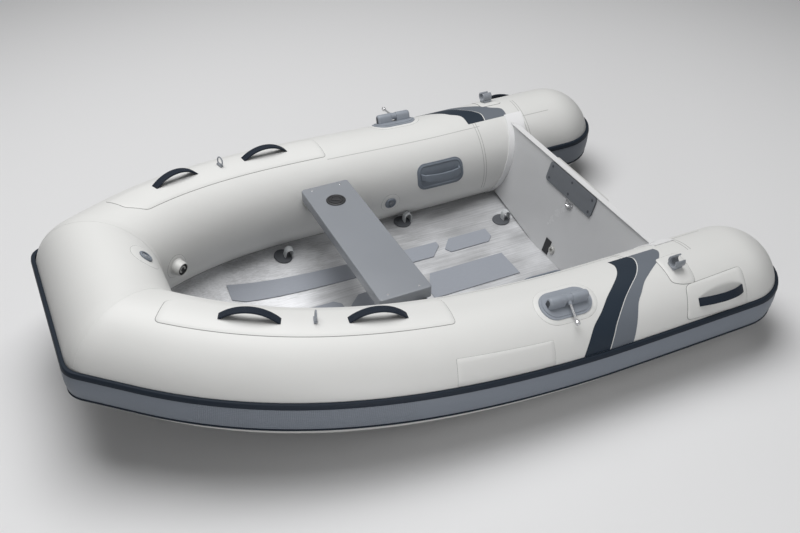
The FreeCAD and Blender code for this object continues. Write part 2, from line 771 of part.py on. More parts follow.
def floor_point(x_station, side_distance):
    """Point on the floor at a distance from the stern and from the middle."""
    _, edge_y, edge_z, keel_z = floor_row(x_station)
    half_band = size("keel_band_half")
    share = max(abs(side_distance) - half_band, 0.0) / (edge_y - half_band)
    return Vector(x_station - middle, side_distance, keel_z + (edge_z - keel_z) * share)


def on_floor(station, across, reach):
    """Placement on the floor, raised so that a round foot clears the bends of the plate."""
    here = floor_point(station, across)
    along = (floor_point(station + reach, across) - here).normalize()
    out = along.cross(here - floor_point(station, across - reach)).normalize()
    rim_points = 24
    turns = [math.tau * i / rim_points for i in range(rim_points)]
    rim = [floor_point(station + reach * math.cos(t), across + reach * math.sin(t)) for t in turns]
    rise = max((point - here).dot(out) for point in rim) + size("glue_gap")
    return Placement(here + out * rise, Rotation(along, out.cross(along), out, "ZXY"))


saddle_span = (edge_angle, size("saddle_end_angle"), skin, skin + size("saddle_thick"))
side_saddle = band(saddle_foot, tube_end, *saddle_span).cut(ahead_of_seam())
for name, side in SIDES.items():
    solid_feature(f"{name}_saddle", on_side(side_saddle, side))
saddle_across = bow_band(
    bow_reach, edge_angle + bow_twist, size("saddle_end_angle") + bow_twist, *saddle_span[2:]
)
solid_feature("bow_saddle", saddle_across.cut(port_cut).cut(mirrored(port_cut)))


def keel_profile(x_station):
    """Tapered section of the keel guard, hung from the hull plate."""
    top = floor_row(x_station)[3] - size("plate_thick")
    bottom = top - size("guard_depth")
    half = size("guard_width") / 2
    narrow = half * size("guard_taper")
    x = x_station - middle
    corners = [(half, top), (narrow, bottom), (-narrow, bottom), (-half, top)]
    points = [Vector(x, y, z) for y, z in corners]
    return Part.makePolygon(points + points[:1])


guard_end = bow_edge.x + middle - size("guard_width")
straight_guard = Part.Face(keel_profile(saddle_foot)).extrude(
    Vector(size("keel_flat_end") - saddle_foot, 0, 0)
)
risen_guard = Part.makeLoft(
    [keel_profile(x) for x in rows_between(size("keel_flat_end"), guard_end)], True, True
)
solid_feature("keel_guard", straight_guard.fuse(risen_guard).removeSplitter())


def runner_profile(station):
    """Wedge section of a bottom runner, hung from the hull plate."""
    half = size("runner_width") / 2
    inner = floor_point(station, size("runner_half") - half)
    outer = floor_point(station, size("runner_half") + half)
    drop = size("plate_thick")
    depth = drop + size("runner_depth")
    points = [
        inner - Vector(0, 0, drop + size("glue_gap")),
        outer - Vector(0, 0, drop + size("glue_gap")),
        outer - Vector(0, 0, depth),
        inner - Vector(0, -half * 0.8, depth),
    ]
    return Part.makePolygon(points + points[:1])


runner_start = saddle_foot + size("runner_lead")
runner_rows = rows_between(runner_start, runner_start + size("runner_length"))
runner = Part.makeLoft([runner_profile(x) for x in runner_rows], True, True)
solid_feature("bottom_runners", together([runner, mirrored(runner)]))


# Transom. Its own frame has X out of its inner face, Y to port and Z up the face.

transom_turn = Rotation(Vector(0, 1, 0), -size("transom_rake"))
transom_place = Placement(Vector(size("transom_foot") - middle, 0, keel_floor), transom_turn)
rake_cos = math.cos(math.radians(size("transom_rake")))


def transom_level(height):
    """Distance up the transom's face of a height above the ground."""
    return (height - keel_floor) / rake_cos


def side_tubes(radius):
    """Both side tubes near the transom, at a radius."""
    run = tube_run(radius, stern_station, size("transom_foot") + size("tube_radius"))
    return [run, mirrored(run)]


transom_blank = new_body("transom_blank")
blank_sketch = new_sketch(transom_blank, "YZ_Plane", "TransomOutline")
half_at_tube = "Sizes.centreline_half - 0.3 * Sizes.tube_radius"
top_level = "(Sizes.transom_top + Sizes.keel_depth) / cos(Sizes.transom_rake * 1deg)"
edge_level = "0.31 * Sizes.tube_radius / cos(Sizes.transom_rake * 1deg)"
band_half = "Sizes.keel_band_half"
outline(blank_sketch, [
    (f"-({half_at_tube})", edge_level),
    (f"-{band_half}", "Sizes.glue_gap"),
    (band_half, "Sizes.glue_gap"),
    (half_at_tube, edge_level),
    (half_at_tube, top_level),
    (f"-({half_at_tube})", top_level),
])
pad(transom_blank, blank_sketch, "Sizes.transom_thick", "TransomBox", reverse=True)
transom_blank.Placement = transom_place
doc.recompute()

transom_shape = transom_blank.Shape.copy()
for tube in side_tubes(skin):
    transom_shape = transom_shape.cut(tube)
below_floor = -size("keel_depth")
transom_shape = transom_shape.cut(floor_layer(below_floor, size("glue_gap")))
drain_middle = transom_place.multVec(Vector(0, size("drain_side"), size("drain_height")))
drain_out = transom_turn.multVec(Vector(-1, 0, 0))
bore_reach = 3 * size("transom_thick")
drain_bore = Part.makeCylinder(
    size("drain_hole_radius"), 2 * bore_reach, drain_middle - drain_out * bore_reach, drain_out
)
transom_shape = transom_shape.cut(drain_bore)
solid_feature("transom_plate", transom_shape)


def transom_box(x_low, x_high, half, z_low, z_high):
    """A box in the transom's own frame."""
    box = Part.makeBox(x_high - x_low, 2 * half, z_high - z_low, Vector(x_low, -half, z_low))
    box.Placement = transom_place
    return box


top_of_transom = transom_level(axis_height + size("transom_top"))
cap_over = size("cap_width") - size("transom_thick")
cap_box = transom_box(
    -size("transom_thick"), cap_over, size("centreline_half"), top_of_transom,
    top_of_transom + size("cap_thick"),
)
for tube in side_tubes(skin + size("collar_thick") + size("glue_gap")):
    cap_box = cap_box.cut(tube)
solid_feature("transom_cap", cap_box)

collar = band(
    stern_station, size("transom_foot") + size("tube_radius"), size("collar_top_angle"), edge_angle - 1,
    skin, skin + size("collar_thick"),
)
collar_slab = transom_box(
    -size("transom_thick") - size("collar_reach"), size("collar_reach"), size("centreline_half"), 0,
    2 * top_of_transom,
)
collar_slot = transom_box(
    -size("transom_thick") - size("glue_gap"), size("glue_gap"), size("centreline_half"), -top_of_transom,
    top_of_transom + size("cap_thick") + size("glue_gap"),
)
cap_slot = transom_box(
    -size("transom_thick") - size("glue_gap"), cap_over + size("glue_gap"), size("centreline_half"),
    top_of_transom - size("glue_gap"), top_of_transom + size("cap_thick") + size("glue_gap"),
)
port_collar = collar.common(collar_slab).cut(collar_slot).cut(cap_slot)
solid_feature("transom_collars", together([port_collar, mirrored(port_collar)]))


def rounded_plate(label, width, height, thick):
    """A plate with rounded corners, standing in its body's YZ plane, centred."""
    body = new_body(label)
    sketch = new_sketch(body, "YZ_Plane", "PlateOutline")
    outline(sketch, [
        (f"-{width} / 2", f"-{height} / 2"),
        (f"{width} / 2", f"-{height} / 2"),
        (f"{width} / 2", f"{height} / 2"),
        (f"-{width} / 2", f"{height} / 2"),
    ])
    plate = pad(body, sketch, thick, "Plate")
    rounded(body, plate, edges_along(plate, Vector(1, 0, 0)), "Sizes.pad_corner", "PlateCorners")
    return body


def on_transom(body, x, y, z):
    """Seats a body on the transom, in the transom's own frame."""
    body.Placement = Placement(transom_place.multVec(Vector(x, y, z)), transom_turn)
    doc.recompute()
    return body


inner_pad = rounded_plate(
    "inner_clamp_pad", "Sizes.clamp_pad_width", "Sizes.clamp_pad_height", "Sizes.clamp_pad_thick"
)
inner_pad_level = top_of_transom - size("clamp_pad_height") / 2 - 2 * size("cap_thick")
keep(on_transom(inner_pad, size("glue_gap"), 0, inner_pad_level), "inner_clamp_pad")

outer_pad = rounded_plate(
    "outer_clamp_pad", "Sizes.outer_pad_width", "Sizes.outer_pad_height", "Sizes.outer_pad_thick"
)
outer_pad_level = top_of_transom + size("cap_thick") - size("outer_pad_height") / 2
outer_face = -size("transom_thick") - size("outer_pad_thick") - size("glue_gap")
keep(on_transom(outer_pad, outer_face, 0, outer_pad_level), "outer_clamp_pad")


# Bench seat: a folded sheet with turned-down edges

seat_height = axis_height + size("seat_top")


def tube_side(x_station, height):
    """Distance from the middle of the boat to the inboard side of the tube at a height."""
    radius = size("tube_radius")
    station = x_station
    for _ in range(ROUNDS):
        frame = axis_frame(station)
        rise = math.asin((height - frame[0].z) / (radius * frame[3].z))
        side = round_tube(frame, 180 - math.degrees(rise), radius)
        station += x_station - (side.x + middle)
    return side.y


seat_ends = [size("seat_middle") + side * size("seat_width") / 2 for side in (1, -1)]
seat_foot = seat_height - size("seat_depth")
seat_half = min(tube_side(end, seat_foot) for end in seat_ends) - size("seat_end_clear")
seat_row = len(DRIVING_SIZES) + 1
sheet.set(f"A{seat_row}", "half the bench across the boat, from the tubes")
sheet.set(f"B{seat_row}", str(seat_half))
sheet.setAlias(f"B{seat_row}", "seat_half")
doc.recompute()

bench = new_body("bench_seat")
bench_sketch = new_sketch(bench, "XY_Plane", "BenchOutline")
outline(bench_sketch, [
    ("-Sizes.seat_width / 2", "-Sizes.seat_half"),
    ("Sizes.seat_width / 2", "-Sizes.seat_half"),
    ("Sizes.seat_width / 2", "Sizes.seat_half"),
    ("-Sizes.seat_width / 2", "Sizes.seat_half"),
])
bench_block = pad(bench, bench_sketch, "Sizes.seat_depth", "BenchBlock", reverse=True)
bench_uprights = edges_along(bench_block, Vector(0, 0, 1))
rounded(bench, bench_block, bench_uprights, "Sizes.seat_corner", "BenchCorners")
hollow_sketch = new_sketch(bench, "XY_Plane", "BenchHollow")
hollow_sketch.setExpression("AttachmentOffset.Base.z", "-Sizes.seat_depth")
inner_x = "(Sizes.seat_width / 2 - Sizes.seat_sheet)"
inner_y = "(Sizes.seat_half - Sizes.seat_sheet)"
outline(hollow_sketch, [
    (f"-{inner_x}", f"-{inner_y}"),
    (inner_x, f"-{inner_y}"),
    (inner_x, inner_y),
    (f"-{inner_x}", inner_y),
])
pocket(bench, hollow_sketch, "Sizes.seat_depth - Sizes.seat_sheet", "BenchInside", reverse=True)
bench.Placement = Placement(Vector(size("seat_middle") - middle, 0, seat_height), Rotation())
keep(bench, "bench_seat")

seat_cap = revolved("seat_cap", [
    ("0", "0"),
    ("Sizes.seat_cap_radius", "0"),
    ("Sizes.seat_cap_radius", "0.5 * Sizes.seat_cap_height"),
    ("0.85 * Sizes.seat_cap_radius", "Sizes.seat_cap_height"),
    ("0", "Sizes.seat_cap_height"),
])
cap_foot = seat_height + size("glue_gap") / 3
seat_cap.Placement = Placement(
    Vector(size("seat_middle") - middle, -size("seat_cap_side"), cap_foot), Rotation()
)
keep(seat_cap, "seat_cap")

bracket_shapes = []
beside_seat = size("seat_width")
seat_tube = tube_run(skin, size("seat_middle") - beside_seat, size("seat_middle") + beside_seat)
for sign in (1, -1):
    length, width, height = size("bracket_length"), size("bracket_width"), size("bracket_height")
    bracket_middle = size("seat_middle") - middle + sign * size("bracket_spread")
    corner = Vector(bracket_middle - length / 2, seat_half - width / 2, seat_foot - height)
    bracket_shapes.append(Part.makeBox(length, width, height, corner).cut(seat_tube))
port_brackets = together(bracket_shapes)
solid_feature("seat_brackets", together([port_brackets, mirrored(port_brackets)]))


# Wear patches, carrying handles and lashing rings on the top of the side tubes

patch_skin = skin + size("wear_patch_thick")


def wear_patch():
    """The long patch under the carrying handles, with its forward inner corner cut."""
    start, end = size("wear_patch_start"), size("wear_patch_end")
    low, high = size("wear_patch_low"), size("wear_patch_high")
    along, across = size("wear_patch_chamfer"), size("wear_patch_cut")
    corners = [Vector(-2 * along, -across, 0), Vector(along, 2 * across, 0), Vector(along, -across, 0)]
    beyond_cut = Part.Face(Part.makePolygon(corners + corners[:1])).extrude(Vector(0, 0, 2 * across))
    beyond_cut.translate(Vector(0, 0, -across))
    beyond_cut.Placement = tube_place(axis_frame(end), high, 0).multiply(beyond_cut.Placement)
    return band(start, end, low, high, skin, patch_skin).cut(beyond_cut)


port_patch = wear_patch()
for name, side in SIDES.items():
    solid_feature(f"{name}_wear_patch", on_side(port_patch, side))


handle_source = new_body("handle_source")
handle_sketch = new_sketch(handle_source, "XZ_Plane", "ArchOutline")
arch_outline(handle_sketch, "Sizes.handle_span", "Sizes.handle_height", "Sizes.handle_thick")
pad(handle_source, handle_sketch, "Sizes.handle_width", "Strap", both_ways=True)


def carrying_handle(placement):
    """A copy of the arched strap at a place."""
    handle = handle_source.Shape.copy()
    handle.Placement = placement
    return handle


on_patch = patch_skin - size("tube_radius") + size("glue_gap")
handle_reach = size("handle_span") / 2
top_handles = [
    carrying_handle(seated(size(alias), size("handle_angle"), on_patch, handle_reach))
    for alias in ("fore_handle_at", "aft_handle_at")
]
for name, side in SIDES.items():
    solid_feature(f"{name}_handles", together([on_side(handle, side) for handle in top_handles]))

on_glued = 2 * size("glue_gap") + size("patch_thick")
stern_handle = carrying_handle(
    seated(size("stern_handle_at"), size("stern_handle_angle"), on_glued, handle_reach)
)
solid_feature("stern_handles", together([stern_handle, mirrored(stern_handle)]))
stern_patch = glued_patch(
    size("stern_patch_at"), size("stern_patch_angle"), size("stern_patch_length"),
    size("stern_patch_width"), size("pad_corner"), size("patch_thick"),
)
solid_feature("stern_patches", together([stern_patch, mirrored(stern_patch)]))


def wire_ring(radius, wire, sweep=360):
    """A ring of bar with flats, about the X axis, or part of one that starts below."""
    flats = int(size("wire_flats"))
    corners = [
        Vector(0, 0, -radius) + Vector(math.cos(turn), 0, math.sin(turn)) * wire
        for turn in (math.tau * (i + 0.5) / flats for i in range(flats))
    ]
    section = Part.Face(Part.makePolygon(corners + corners[:1]))
    return section.revolve(Vector(0, 0, 0), Vector(1, 0, 0), sweep)


ring_tab = Part.makeBox(
    size("ring_tab_length"), size("ring_tab_width"), size("ring_tab_height"),
    Vector(-size("ring_tab_length") / 2, -size("ring_tab_width") / 2, 0),
)
ring_loop = wire_ring(size("ring_radius"), size("ring_wire"))
ring_loop.translate(Vector(0, 0, size("ring_radius") + size("ring_tab_height") / 2))
ring_shape = ring_tab.fuse(ring_loop).removeSplitter()
ring_shape.Placement = seated(size("ring_at"), size("handle_angle"), on_patch, size("ring_tab_length") / 2)
solid_feature("lashing_rings", together([ring_shape, mirrored(ring_shape)]))


# Rowlocks: a moulded foot with two lugs, and a pin that swings about the axle between them

rowlock_frame = axis_frame(size("rowlock_at"))
rowlock_foot_top = skin + size("rowlock_pad_thick")
rowlock_foot = glued_patch(
    size("rowlock_at"), size("rowlock_angle"), size("rowlock_pad_length"), size("rowlock_pad_width"),
    size("rowlock_pad_width") / 2, size("rowlock_pad_thick"),
)


def lug(direction):
    """One rounded lug beside the gap, standing on the foot."""
    start = direction * size("lug_gap") / 2
    radius, length, bevel = size("lug_radius"), size("lug_length"), size("lug_bevel")
    base = Vector(start, 0, size("lug_lift"))
    along = Vector(direction, 0, 0)
    barrel = Part.makeCylinder(radius, length - bevel, base, along)
    nose = Part.makeCone(radius, radius - bevel, bevel, base + along * (length - bevel), along)
    skirt_start = min(start, start + direction * (length - bevel))
    skirt = Part.makeBox(length - bevel, 2 * radius, size("lug_lift"), Vector(skirt_start, -radius, 0))
    below = Part.makeBox(
        2 * length, 4 * radius, 2 * radius, Vector(start - length, -2 * radius, -2 * radius)
    )
    return barrel.fuse(nose).fuse(skirt).cut(below).removeSplitter()


axle = Part.makeCylinder(
    size("axle_radius"), size("lug_gap"), Vector(-size("lug_gap") / 2, 0, size("lug_lift")), Vector(1, 0, 0)
)
lug_sink = size("lug_sink")
lugs_lift = rowlock_foot_top - size("tube_radius") - lug_sink
rowlock_place = tube_place(rowlock_frame, size("rowlock_angle"), lugs_lift)
lugs_shape = lug(1).fuse(lug(-1)).fuse(axle)
lugs_shape.Placement = rowlock_place
rowlock_base = lugs_shape.fuse(rowlock_foot).removeSplitter()

pin_source = revolved("pin_source", [
    ("0", "Sizes.axle_radius + Sizes.lug_wall"),
    ("Sizes.thole_radius", "Sizes.axle_radius + Sizes.lug_wall"),
    ("Sizes.thole_radius", "Sizes.thole_length - Sizes.knob_radius"),
    ("0.8 * Sizes.knob_radius", "Sizes.thole_length - 0.7 * Sizes.knob_radius"),
    ("Sizes.knob_radius", "Sizes.thole_length"),
    ("0.8 * Sizes.knob_radius", "Sizes.thole_length + 0.7 * Sizes.knob_radius"),
    ("0.4 * Sizes.knob_radius", "Sizes.thole_length + Sizes.knob_radius"),
    ("0", "Sizes.thole_length + Sizes.knob_radius"),
])


def rowlock_collar():
    """Moulded collar that turns on the axle, along X, and holds the pin."""
    width = size("collar_width")
    radius = size("collar_radius")
    collar = Part.makeCylinder(radius, width, Vector(-width / 2, 0, 0), Vector(1, 0, 0))
    socket = Part.makeCylinder(0.6 * radius, 1.5 * radius)
    bore = size("axle_radius") + size("axle_clearance")
    hole = Part.makeCylinder(bore, 2 * width, Vector(-width, 0, 0), Vector(1, 0, 0))
    pin_foot = Vector(0, 0, size("axle_radius") + size("lug_wall"))
    pin_hole = Part.makeCylinder(size("thole_radius"), 2 * radius, pin_foot)
    return collar.fuse(socket).cut(hole).cut(pin_hole).removeSplitter()


axle_place = rowlock_place.multiply(Placement(Vector(0, 0, size("lug_lift")), Rotation()))
REST_TURN = {"port": -(90 + size("port_pin_drop")), "starboard": -size("starboard_pin_lean")}
for name, side in SIDES.items():
    solid_feature(f"{name}_rowlock_base", on_side(rowlock_base, side))
    lean = Placement(Vector(0, 0, 0), Rotation(Vector(1, 0, 0), REST_TURN[name]))
    for label, shape in (("collar", rowlock_collar()), ("pin", pin_source.Shape.copy())):
        shape.Placement = axle_place.multiply(lean)
        solid_feature(f"{name}_rowlock_{label}", on_side(shape, side))


# Oar clips on the after part of the side tubes

def oar_clip():
    """An open ring across the tube on a short foot."""
    outer = size("clip_radius")
    inner = outer - size("clip_wall")
    width = size("clip_width")
    foot_width, foot_height = size("clip_foot_width"), size("clip_foot_height")
    lift = inner + foot_height
    ring = Part.makeCylinder(outer, width, Vector(-width / 2, 0, lift), Vector(1, 0, 0))
    foot = Part.makeBox(foot_width, 2 * inner, foot_height, Vector(-foot_width / 2, -inner, 0))
    hollow = Part.makeCylinder(inner, 2 * foot_width, Vector(-foot_width, 0, lift), Vector(1, 0, 0))
    half_mouth = math.radians(size("clip_mouth") / 2)
    reach = 2 * outer
    mouth = [
        Vector(-width, 0, lift),
        Vector(-width, -reach * math.sin(half_mouth), lift + reach * math.cos(half_mouth)),
        Vector(-width, reach * math.sin(half_mouth), lift + reach * math.cos(half_mouth)),
    ]
    wedge = Part.Face(Part.makePolygon(mouth + mouth[:1])).extrude(Vector(2 * width, 0, 0))
    below = Part.makeBox(4 * width, 4 * outer, outer, Vector(-2 * width, -2 * outer, -outer))
    return ring.fuse(foot).cut(hollow).cut(wedge).cut(below).removeSplitter()


clip = oar_clip()
clip.Placement = seated(size("clip_at"), size("clip_angle"), on_glued, size("clip_foot_width") / 2)
solid_feature("oar_clips", together([clip, mirrored(clip)]))
clip_patch = glued_patch(
    size("clip_at"), size("clip_angle"), size("clip_patch_length"), size("clip_patch_width"),
    size("pad_corner"), size("patch_thick"),
)
solid_feature("clip_patches", together([clip_patch, mirrored(clip_patch)]))


# Moulded grab handles inside the tubes

grab_width = math.radians(size("grab_sweep")) * size("tube_radius")
grab_foot = glued_patch(
    size("grab_at"), size("grab_angle"), size("grab_length"), grab_width, grab_width / 3, size("grab_thick")
)
grip_source = new_body("grip_source")
grip_sketch = new_sketch(grip_source, "XZ_Plane", "GripOutline")
grip_half = "Sizes.grab_grip / 2"
outline(grip_sketch, [
    (f"-{grip_half}", "0"),
    (f"-{grip_half} + Sizes.grab_bar", "0"),
    (f"-{grip_half} + 1.5 * Sizes.grab_bar", "Sizes.grab_reach - Sizes.grab_bar"),
    (f"{grip_half} - 1.5 * Sizes.grab_bar", "Sizes.grab_reach - Sizes.grab_bar"),
    (f"{grip_half} - Sizes.grab_bar", "0"),
    (grip_half, "0"),
    (f"{grip_half} - Sizes.grab_bar / 2", "Sizes.grab_reach - Sizes.grab_bar / 2"),
    (f"{grip_half} - 1.2 * Sizes.grab_bar", "Sizes.grab_reach"),
    (f"-{grip_half} + 1.2 * Sizes.grab_bar", "Sizes.grab_reach"),
    (f"-{grip_half} + Sizes.grab_bar / 2", "Sizes.grab_reach - Sizes.grab_bar / 2"),
])
pad(grip_source, grip_sketch, "Sizes.grab_grip_width", "Grip", both_ways=True)
grip = grip_source.Shape.copy()
grip.Placement = tube_place(axis_frame(size("grab_at")), size("grab_angle"), size("grab_thick") - lug_sink)
grab = grab_foot.fuse(grip).removeSplitter()
for name, side in SIDES.items():
    solid_feature(f"{name}_grab_handle", on_side(grab, side))


# Air valves and the round fitting in the bow corner

def valve_body(label):
    """A low flanged valve with a recessed cap."""
    return revolved(label, [
        ("0", "0"),
        ("Sizes.valve_radius", "0"),
        ("Sizes.valve_radius", "0.4 * Sizes.valve_height"),
        ("0.8 * Sizes.valve_radius", "Sizes.valve_height"),
        ("0.6 * Sizes.valve_radius", "Sizes.valve_height"),
        ("0.55 * Sizes.valve_radius", "0.5 * Sizes.valve_height"),
        ("0", "0.5 * Sizes.valve_height"),
    ])


valve_lift = size("glue_gap")
side_valve_place = seated(
    size("side_valve_at"), size("side_valve_angle"), valve_lift, size("valve_radius")
)
for name, side in SIDES.items():
    valve = valve_body(f"{name}_valve")
    valve.Placement = side_place(side_valve_place, side)
    keep(valve, f"{name}_valve")
bow_valve = valve_body("bow_valve")
valve_frame = (bow_frame[0] - Vector(0, size("bow_valve_side"), 0), *bow_frame[1:])
bow_valve.Placement = tube_place(valve_frame, size("bow_valve_angle"), valve_lift)
keep(bow_valve, "bow_valve")

fitting = revolved("bow_fitting", [
    ("0", "0"),
    ("Sizes.fitting_flange * Sizes.fitting_radius", "0"),
    ("Sizes.fitting_flange * Sizes.fitting_radius", "0.06 * Sizes.fitting_height"),
    ("Sizes.fitting_radius", "0.12 * Sizes.fitting_height"),
    ("Sizes.fitting_radius", "0.6 * Sizes.fitting_height"),
    ("0.7 * Sizes.fitting_radius", "Sizes.fitting_height"),
    ("0", "Sizes.fitting_height"),
])
fitting_at = bow_axis - size("fitting_back")
fitting_place = seated(
    fitting_at, size("fitting_angle"), valve_lift, size("fitting_flange") * size("fitting_radius")
)
fitting.Placement = side_place(fitting_place, -1)
keep(fitting, "bow_fitting")


# Floor pads

def floor_pad(corners):
    """A foam pad on the floor, from its corners in plan."""
    points = [Vector(station - middle, y, 0) for station, y in corners]
    face = Part.Face(Part.makePolygon(points + points[:1]))
    return pad_layer.common(face.extrude(Vector(0, 0, 2 * axis_height)))


pad_layer = floor_layer(size("glue_gap"), size("glue_gap") + size("floor_pad_thick"))
row_in = size("row_pad_side")
row_out = row_in + size("row_pad_width")
bevel, nick = size("pad_bevel"), size("pad_nick")
step, aft_step = size("row_pad_step"), size("row_pad_aft_step")
row_front, row_back = size("row_pad_fore"), size("row_pad_aft")
third_front = aft_step - size("row_pad_aft_gap")
row_pads = [
    [
        (row_front, row_out), (row_front, row_in + nick / 2), (row_front - bevel, row_in),
        (step + size("pad_gap"), row_in), (step + size("pad_gap"), row_out),
    ],
    [
        (step, row_out), (step, row_in), (aft_step + bevel, row_in), (aft_step, row_out - nick),
        (aft_step, row_out),
    ],
    [
        (third_front, row_out), (third_front + bevel - nick / 3, row_in + nick),
        (third_front + nick, row_in), (row_back + nick, row_in), (row_back, row_in + nick),
        (row_back, row_out),
    ],
]
pads = []
for corners in row_pads:
    piece = floor_pad(corners)
    pads.extend([piece, mirrored(piece)])

pad_port, pad_starboard = size("centre_pad_port"), -size("centre_pad_starboard")
centre_back, centre_front = size("centre_pad_start"), size("centre_pad_end")
fore_back, fore_front = size("fore_pad_start"), size("fore_pad_end")
middle_back, middle_front = centre_front + size("pad_gap"), fore_back - size("pad_gap")
pads.append(floor_pad([
    (centre_back, pad_port), (centre_back, pad_starboard), (centre_front - bevel, pad_starboard),
    (centre_front, pad_starboard + 2 * bevel), (centre_front, pad_port),
]))
pads.append(floor_pad([
    (middle_back, pad_port), (middle_back, pad_starboard + 2 * bevel), (middle_back + bevel, pad_starboard),
    (middle_front - bevel, pad_starboard), (middle_front, pad_starboard + bevel), (middle_front, pad_port),
]))
pads.append(floor_pad([
    (fore_back, pad_port), (fore_back, pad_starboard + nick), (fore_back + nick, pad_starboard),
    (fore_front - nick, pad_starboard), (fore_front, pad_starboard + nick), (fore_front, pad_port),
]))
solid_feature("floor_pads", together(pads))


# Lifting straps on the floor beside the tubes

def lifting_loop():
    """An upright strap loop on a round foot, abaft the middle of it."""
    thick, wall = size("loop_foot_thick"), size("loop_thick")
    span, width, height = size("loop_span"), size("loop_width"), size("loop_height")
    back = -span / 2 - size("loop_shift")
    foot = Part.makeCylinder(size("loop_foot_radius"), thick)
    outer = Part.makeBox(span, width, thick + height, Vector(back, -width / 2, 0))
    inner = Part.makeBox(span - 2 * wall, 2 * width, thick + height - wall, Vector(back + wall, -width, 0))
    return outer.cut(inner).fuse(foot).removeSplitter()


loops = []
loop_stations = {
    "fore": bow_axis - size("fore_loop_back"),
    "middle": size("transom_foot") + size("middle_loop_ahead"),
    "aft": size("transom_foot") + size("aft_loop_ahead"),
}
LOOP_PLACES = [
    (station, floor_row(station)[1] - size(f"{name}_loop_inset")) for name, station in loop_stations.items()
]
for station, across in LOOP_PLACES:
    loop = lifting_loop()
    loop.Placement = on_floor(station, across, size("loop_foot_radius"))
    loops.extend([loop, mirrored(loop)])
solid_feature("lifting_loops", together(loops))


# Steel eyes and the drain

def steel_eye():
    """A bowed steel bar on a small plate, standing out along X."""
    thick, radius, wire = size("eye_plate_thick"), size("eye_radius"), size("eye_wire")
    width, height = 3 * radius, 1.6 * radius
    plate = Part.makeBox(thick, width, height, Vector(0, -width / 2, -height / 2))
    bow = wire_ring(radius, wire, 180)
    lying_flat = Rotation(Vector(0, 1, 0), 90).multiply(Rotation(Vector(1, 0, 0), 90))
    bow.Placement = Placement(Vector(thick / 2, 0, 0), lying_flat)
    return plate.fuse(bow).removeSplitter()


eye = steel_eye()
eye_level = inner_pad_level - size("clamp_pad_height") / 2 - size("eye_drop")
eye.Placement = Placement(
    transom_place.multVec(Vector(size("glue_gap"), size("eye_side"), eye_level)), transom_turn
)
solid_feature("transom_eye", eye)

flap = Part.makeBox(
    size("flap_thick"), size("flap_width"), size("flap_height"), Vector(0, -size("flap_width") / 2, 0)
)
flap.Placement = Placement(
    transom_place.multVec(
        Vector(size("glue_gap"), size("drain_side") - size("flap_shift"), size("flap_foot"))
    ),
    transom_turn,
)
solid_feature("drain_flap", flap)

drain = revolved("drain_valve", [
    ("0.7 * Sizes.drain_hole_radius", "-0.7 * Sizes.transom_thick"),
    ("Sizes.drain_hole_radius - Sizes.axle_clearance", "-0.7 * Sizes.transom_thick"),
    ("Sizes.drain_hole_radius - Sizes.axle_clearance", "Sizes.glue_gap"),
    ("Sizes.drain_radius", "Sizes.glue_gap"),
    ("Sizes.drain_radius", "0.6 * Sizes.drain_lip"),
    ("0.8 * Sizes.drain_radius", "Sizes.drain_lip"),
    ("0.7 * Sizes.drain_hole_radius", "Sizes.drain_lip"),
])
drain.Placement = Placement(drain_middle, transom_turn.multiply(Rotation(Vector(0, 1, 0), 90)))
keep(drain, "drain_valve")


# Checks of every object, then export

doc.recompute()
for obj in doc.Objects:
    if {"Invalid", "Error"} & set(obj.State):
        raise RuntimeError(f"{obj.Label} is in state {obj.State}")
labels = [obj.Label for obj in subparts]
if len(labels) != len(set(labels)):
    raise RuntimeError("two sub-parts have the same label")
os.makedirs("parts", exist_ok=True)
for obj in subparts:
    shape = obj.Shape
    if shape.isNull() or not shape.isValid() or not shape.Solids:
        raise RuntimeError(f"{obj.Label} has no valid solid")
for obj in subparts:
    obj.Shape.exportStep(os.path.join("parts", obj.Label + ".step"))
    box = obj.Shape.optimalBoundingBox(True, False)
    print(
        f"{obj.Label}: {len(obj.Shape.Solids)} solids, {obj.Shape.Volume / 1000:.1f} cm3, "
        f"x {box.XMin:.1f}..{box.XMax:.1f}, y {box.YMin:.1f}..{box.YMax:.1f}, "
        f"z {box.ZMin:.1f}..{box.ZMax:.1f}"
    )
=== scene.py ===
"""Looks of a small inflatable boat with an aluminium hull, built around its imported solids."""
import logging
import math
from dataclasses import dataclass
from enum import Enum
from typing import Any, Callable, Sequence

import bmesh
import bpy
from mathutils import Matrix, Vector


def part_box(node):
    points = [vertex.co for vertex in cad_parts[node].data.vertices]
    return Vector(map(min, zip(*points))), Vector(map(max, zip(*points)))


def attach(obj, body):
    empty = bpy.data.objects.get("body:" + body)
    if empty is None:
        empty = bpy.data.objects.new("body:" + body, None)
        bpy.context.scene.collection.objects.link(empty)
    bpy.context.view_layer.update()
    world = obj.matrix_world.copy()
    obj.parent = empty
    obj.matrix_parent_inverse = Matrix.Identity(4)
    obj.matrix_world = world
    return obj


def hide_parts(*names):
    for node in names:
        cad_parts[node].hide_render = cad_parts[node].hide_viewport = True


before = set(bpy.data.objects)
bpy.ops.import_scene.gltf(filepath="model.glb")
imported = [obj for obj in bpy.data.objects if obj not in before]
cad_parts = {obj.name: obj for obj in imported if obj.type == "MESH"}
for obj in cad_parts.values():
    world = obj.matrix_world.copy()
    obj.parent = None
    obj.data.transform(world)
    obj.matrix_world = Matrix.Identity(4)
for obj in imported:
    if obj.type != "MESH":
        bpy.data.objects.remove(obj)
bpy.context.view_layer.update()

LOG = logging.getLogger("boat")
MM = 0.001
HULL = "hull"
PORT, STARBOARD = 1, -1
SIDE_NAMES = {PORT: "port", STARBOARD: "starboard"}

Triple = tuple[float, float, float]
Colour = Triple
Spot = tuple[float, float]
Outline = Sequence[Spot]
Ring = list[Vector]
Skin = Callable[[float, float, float], Vector]


# Shader graphs

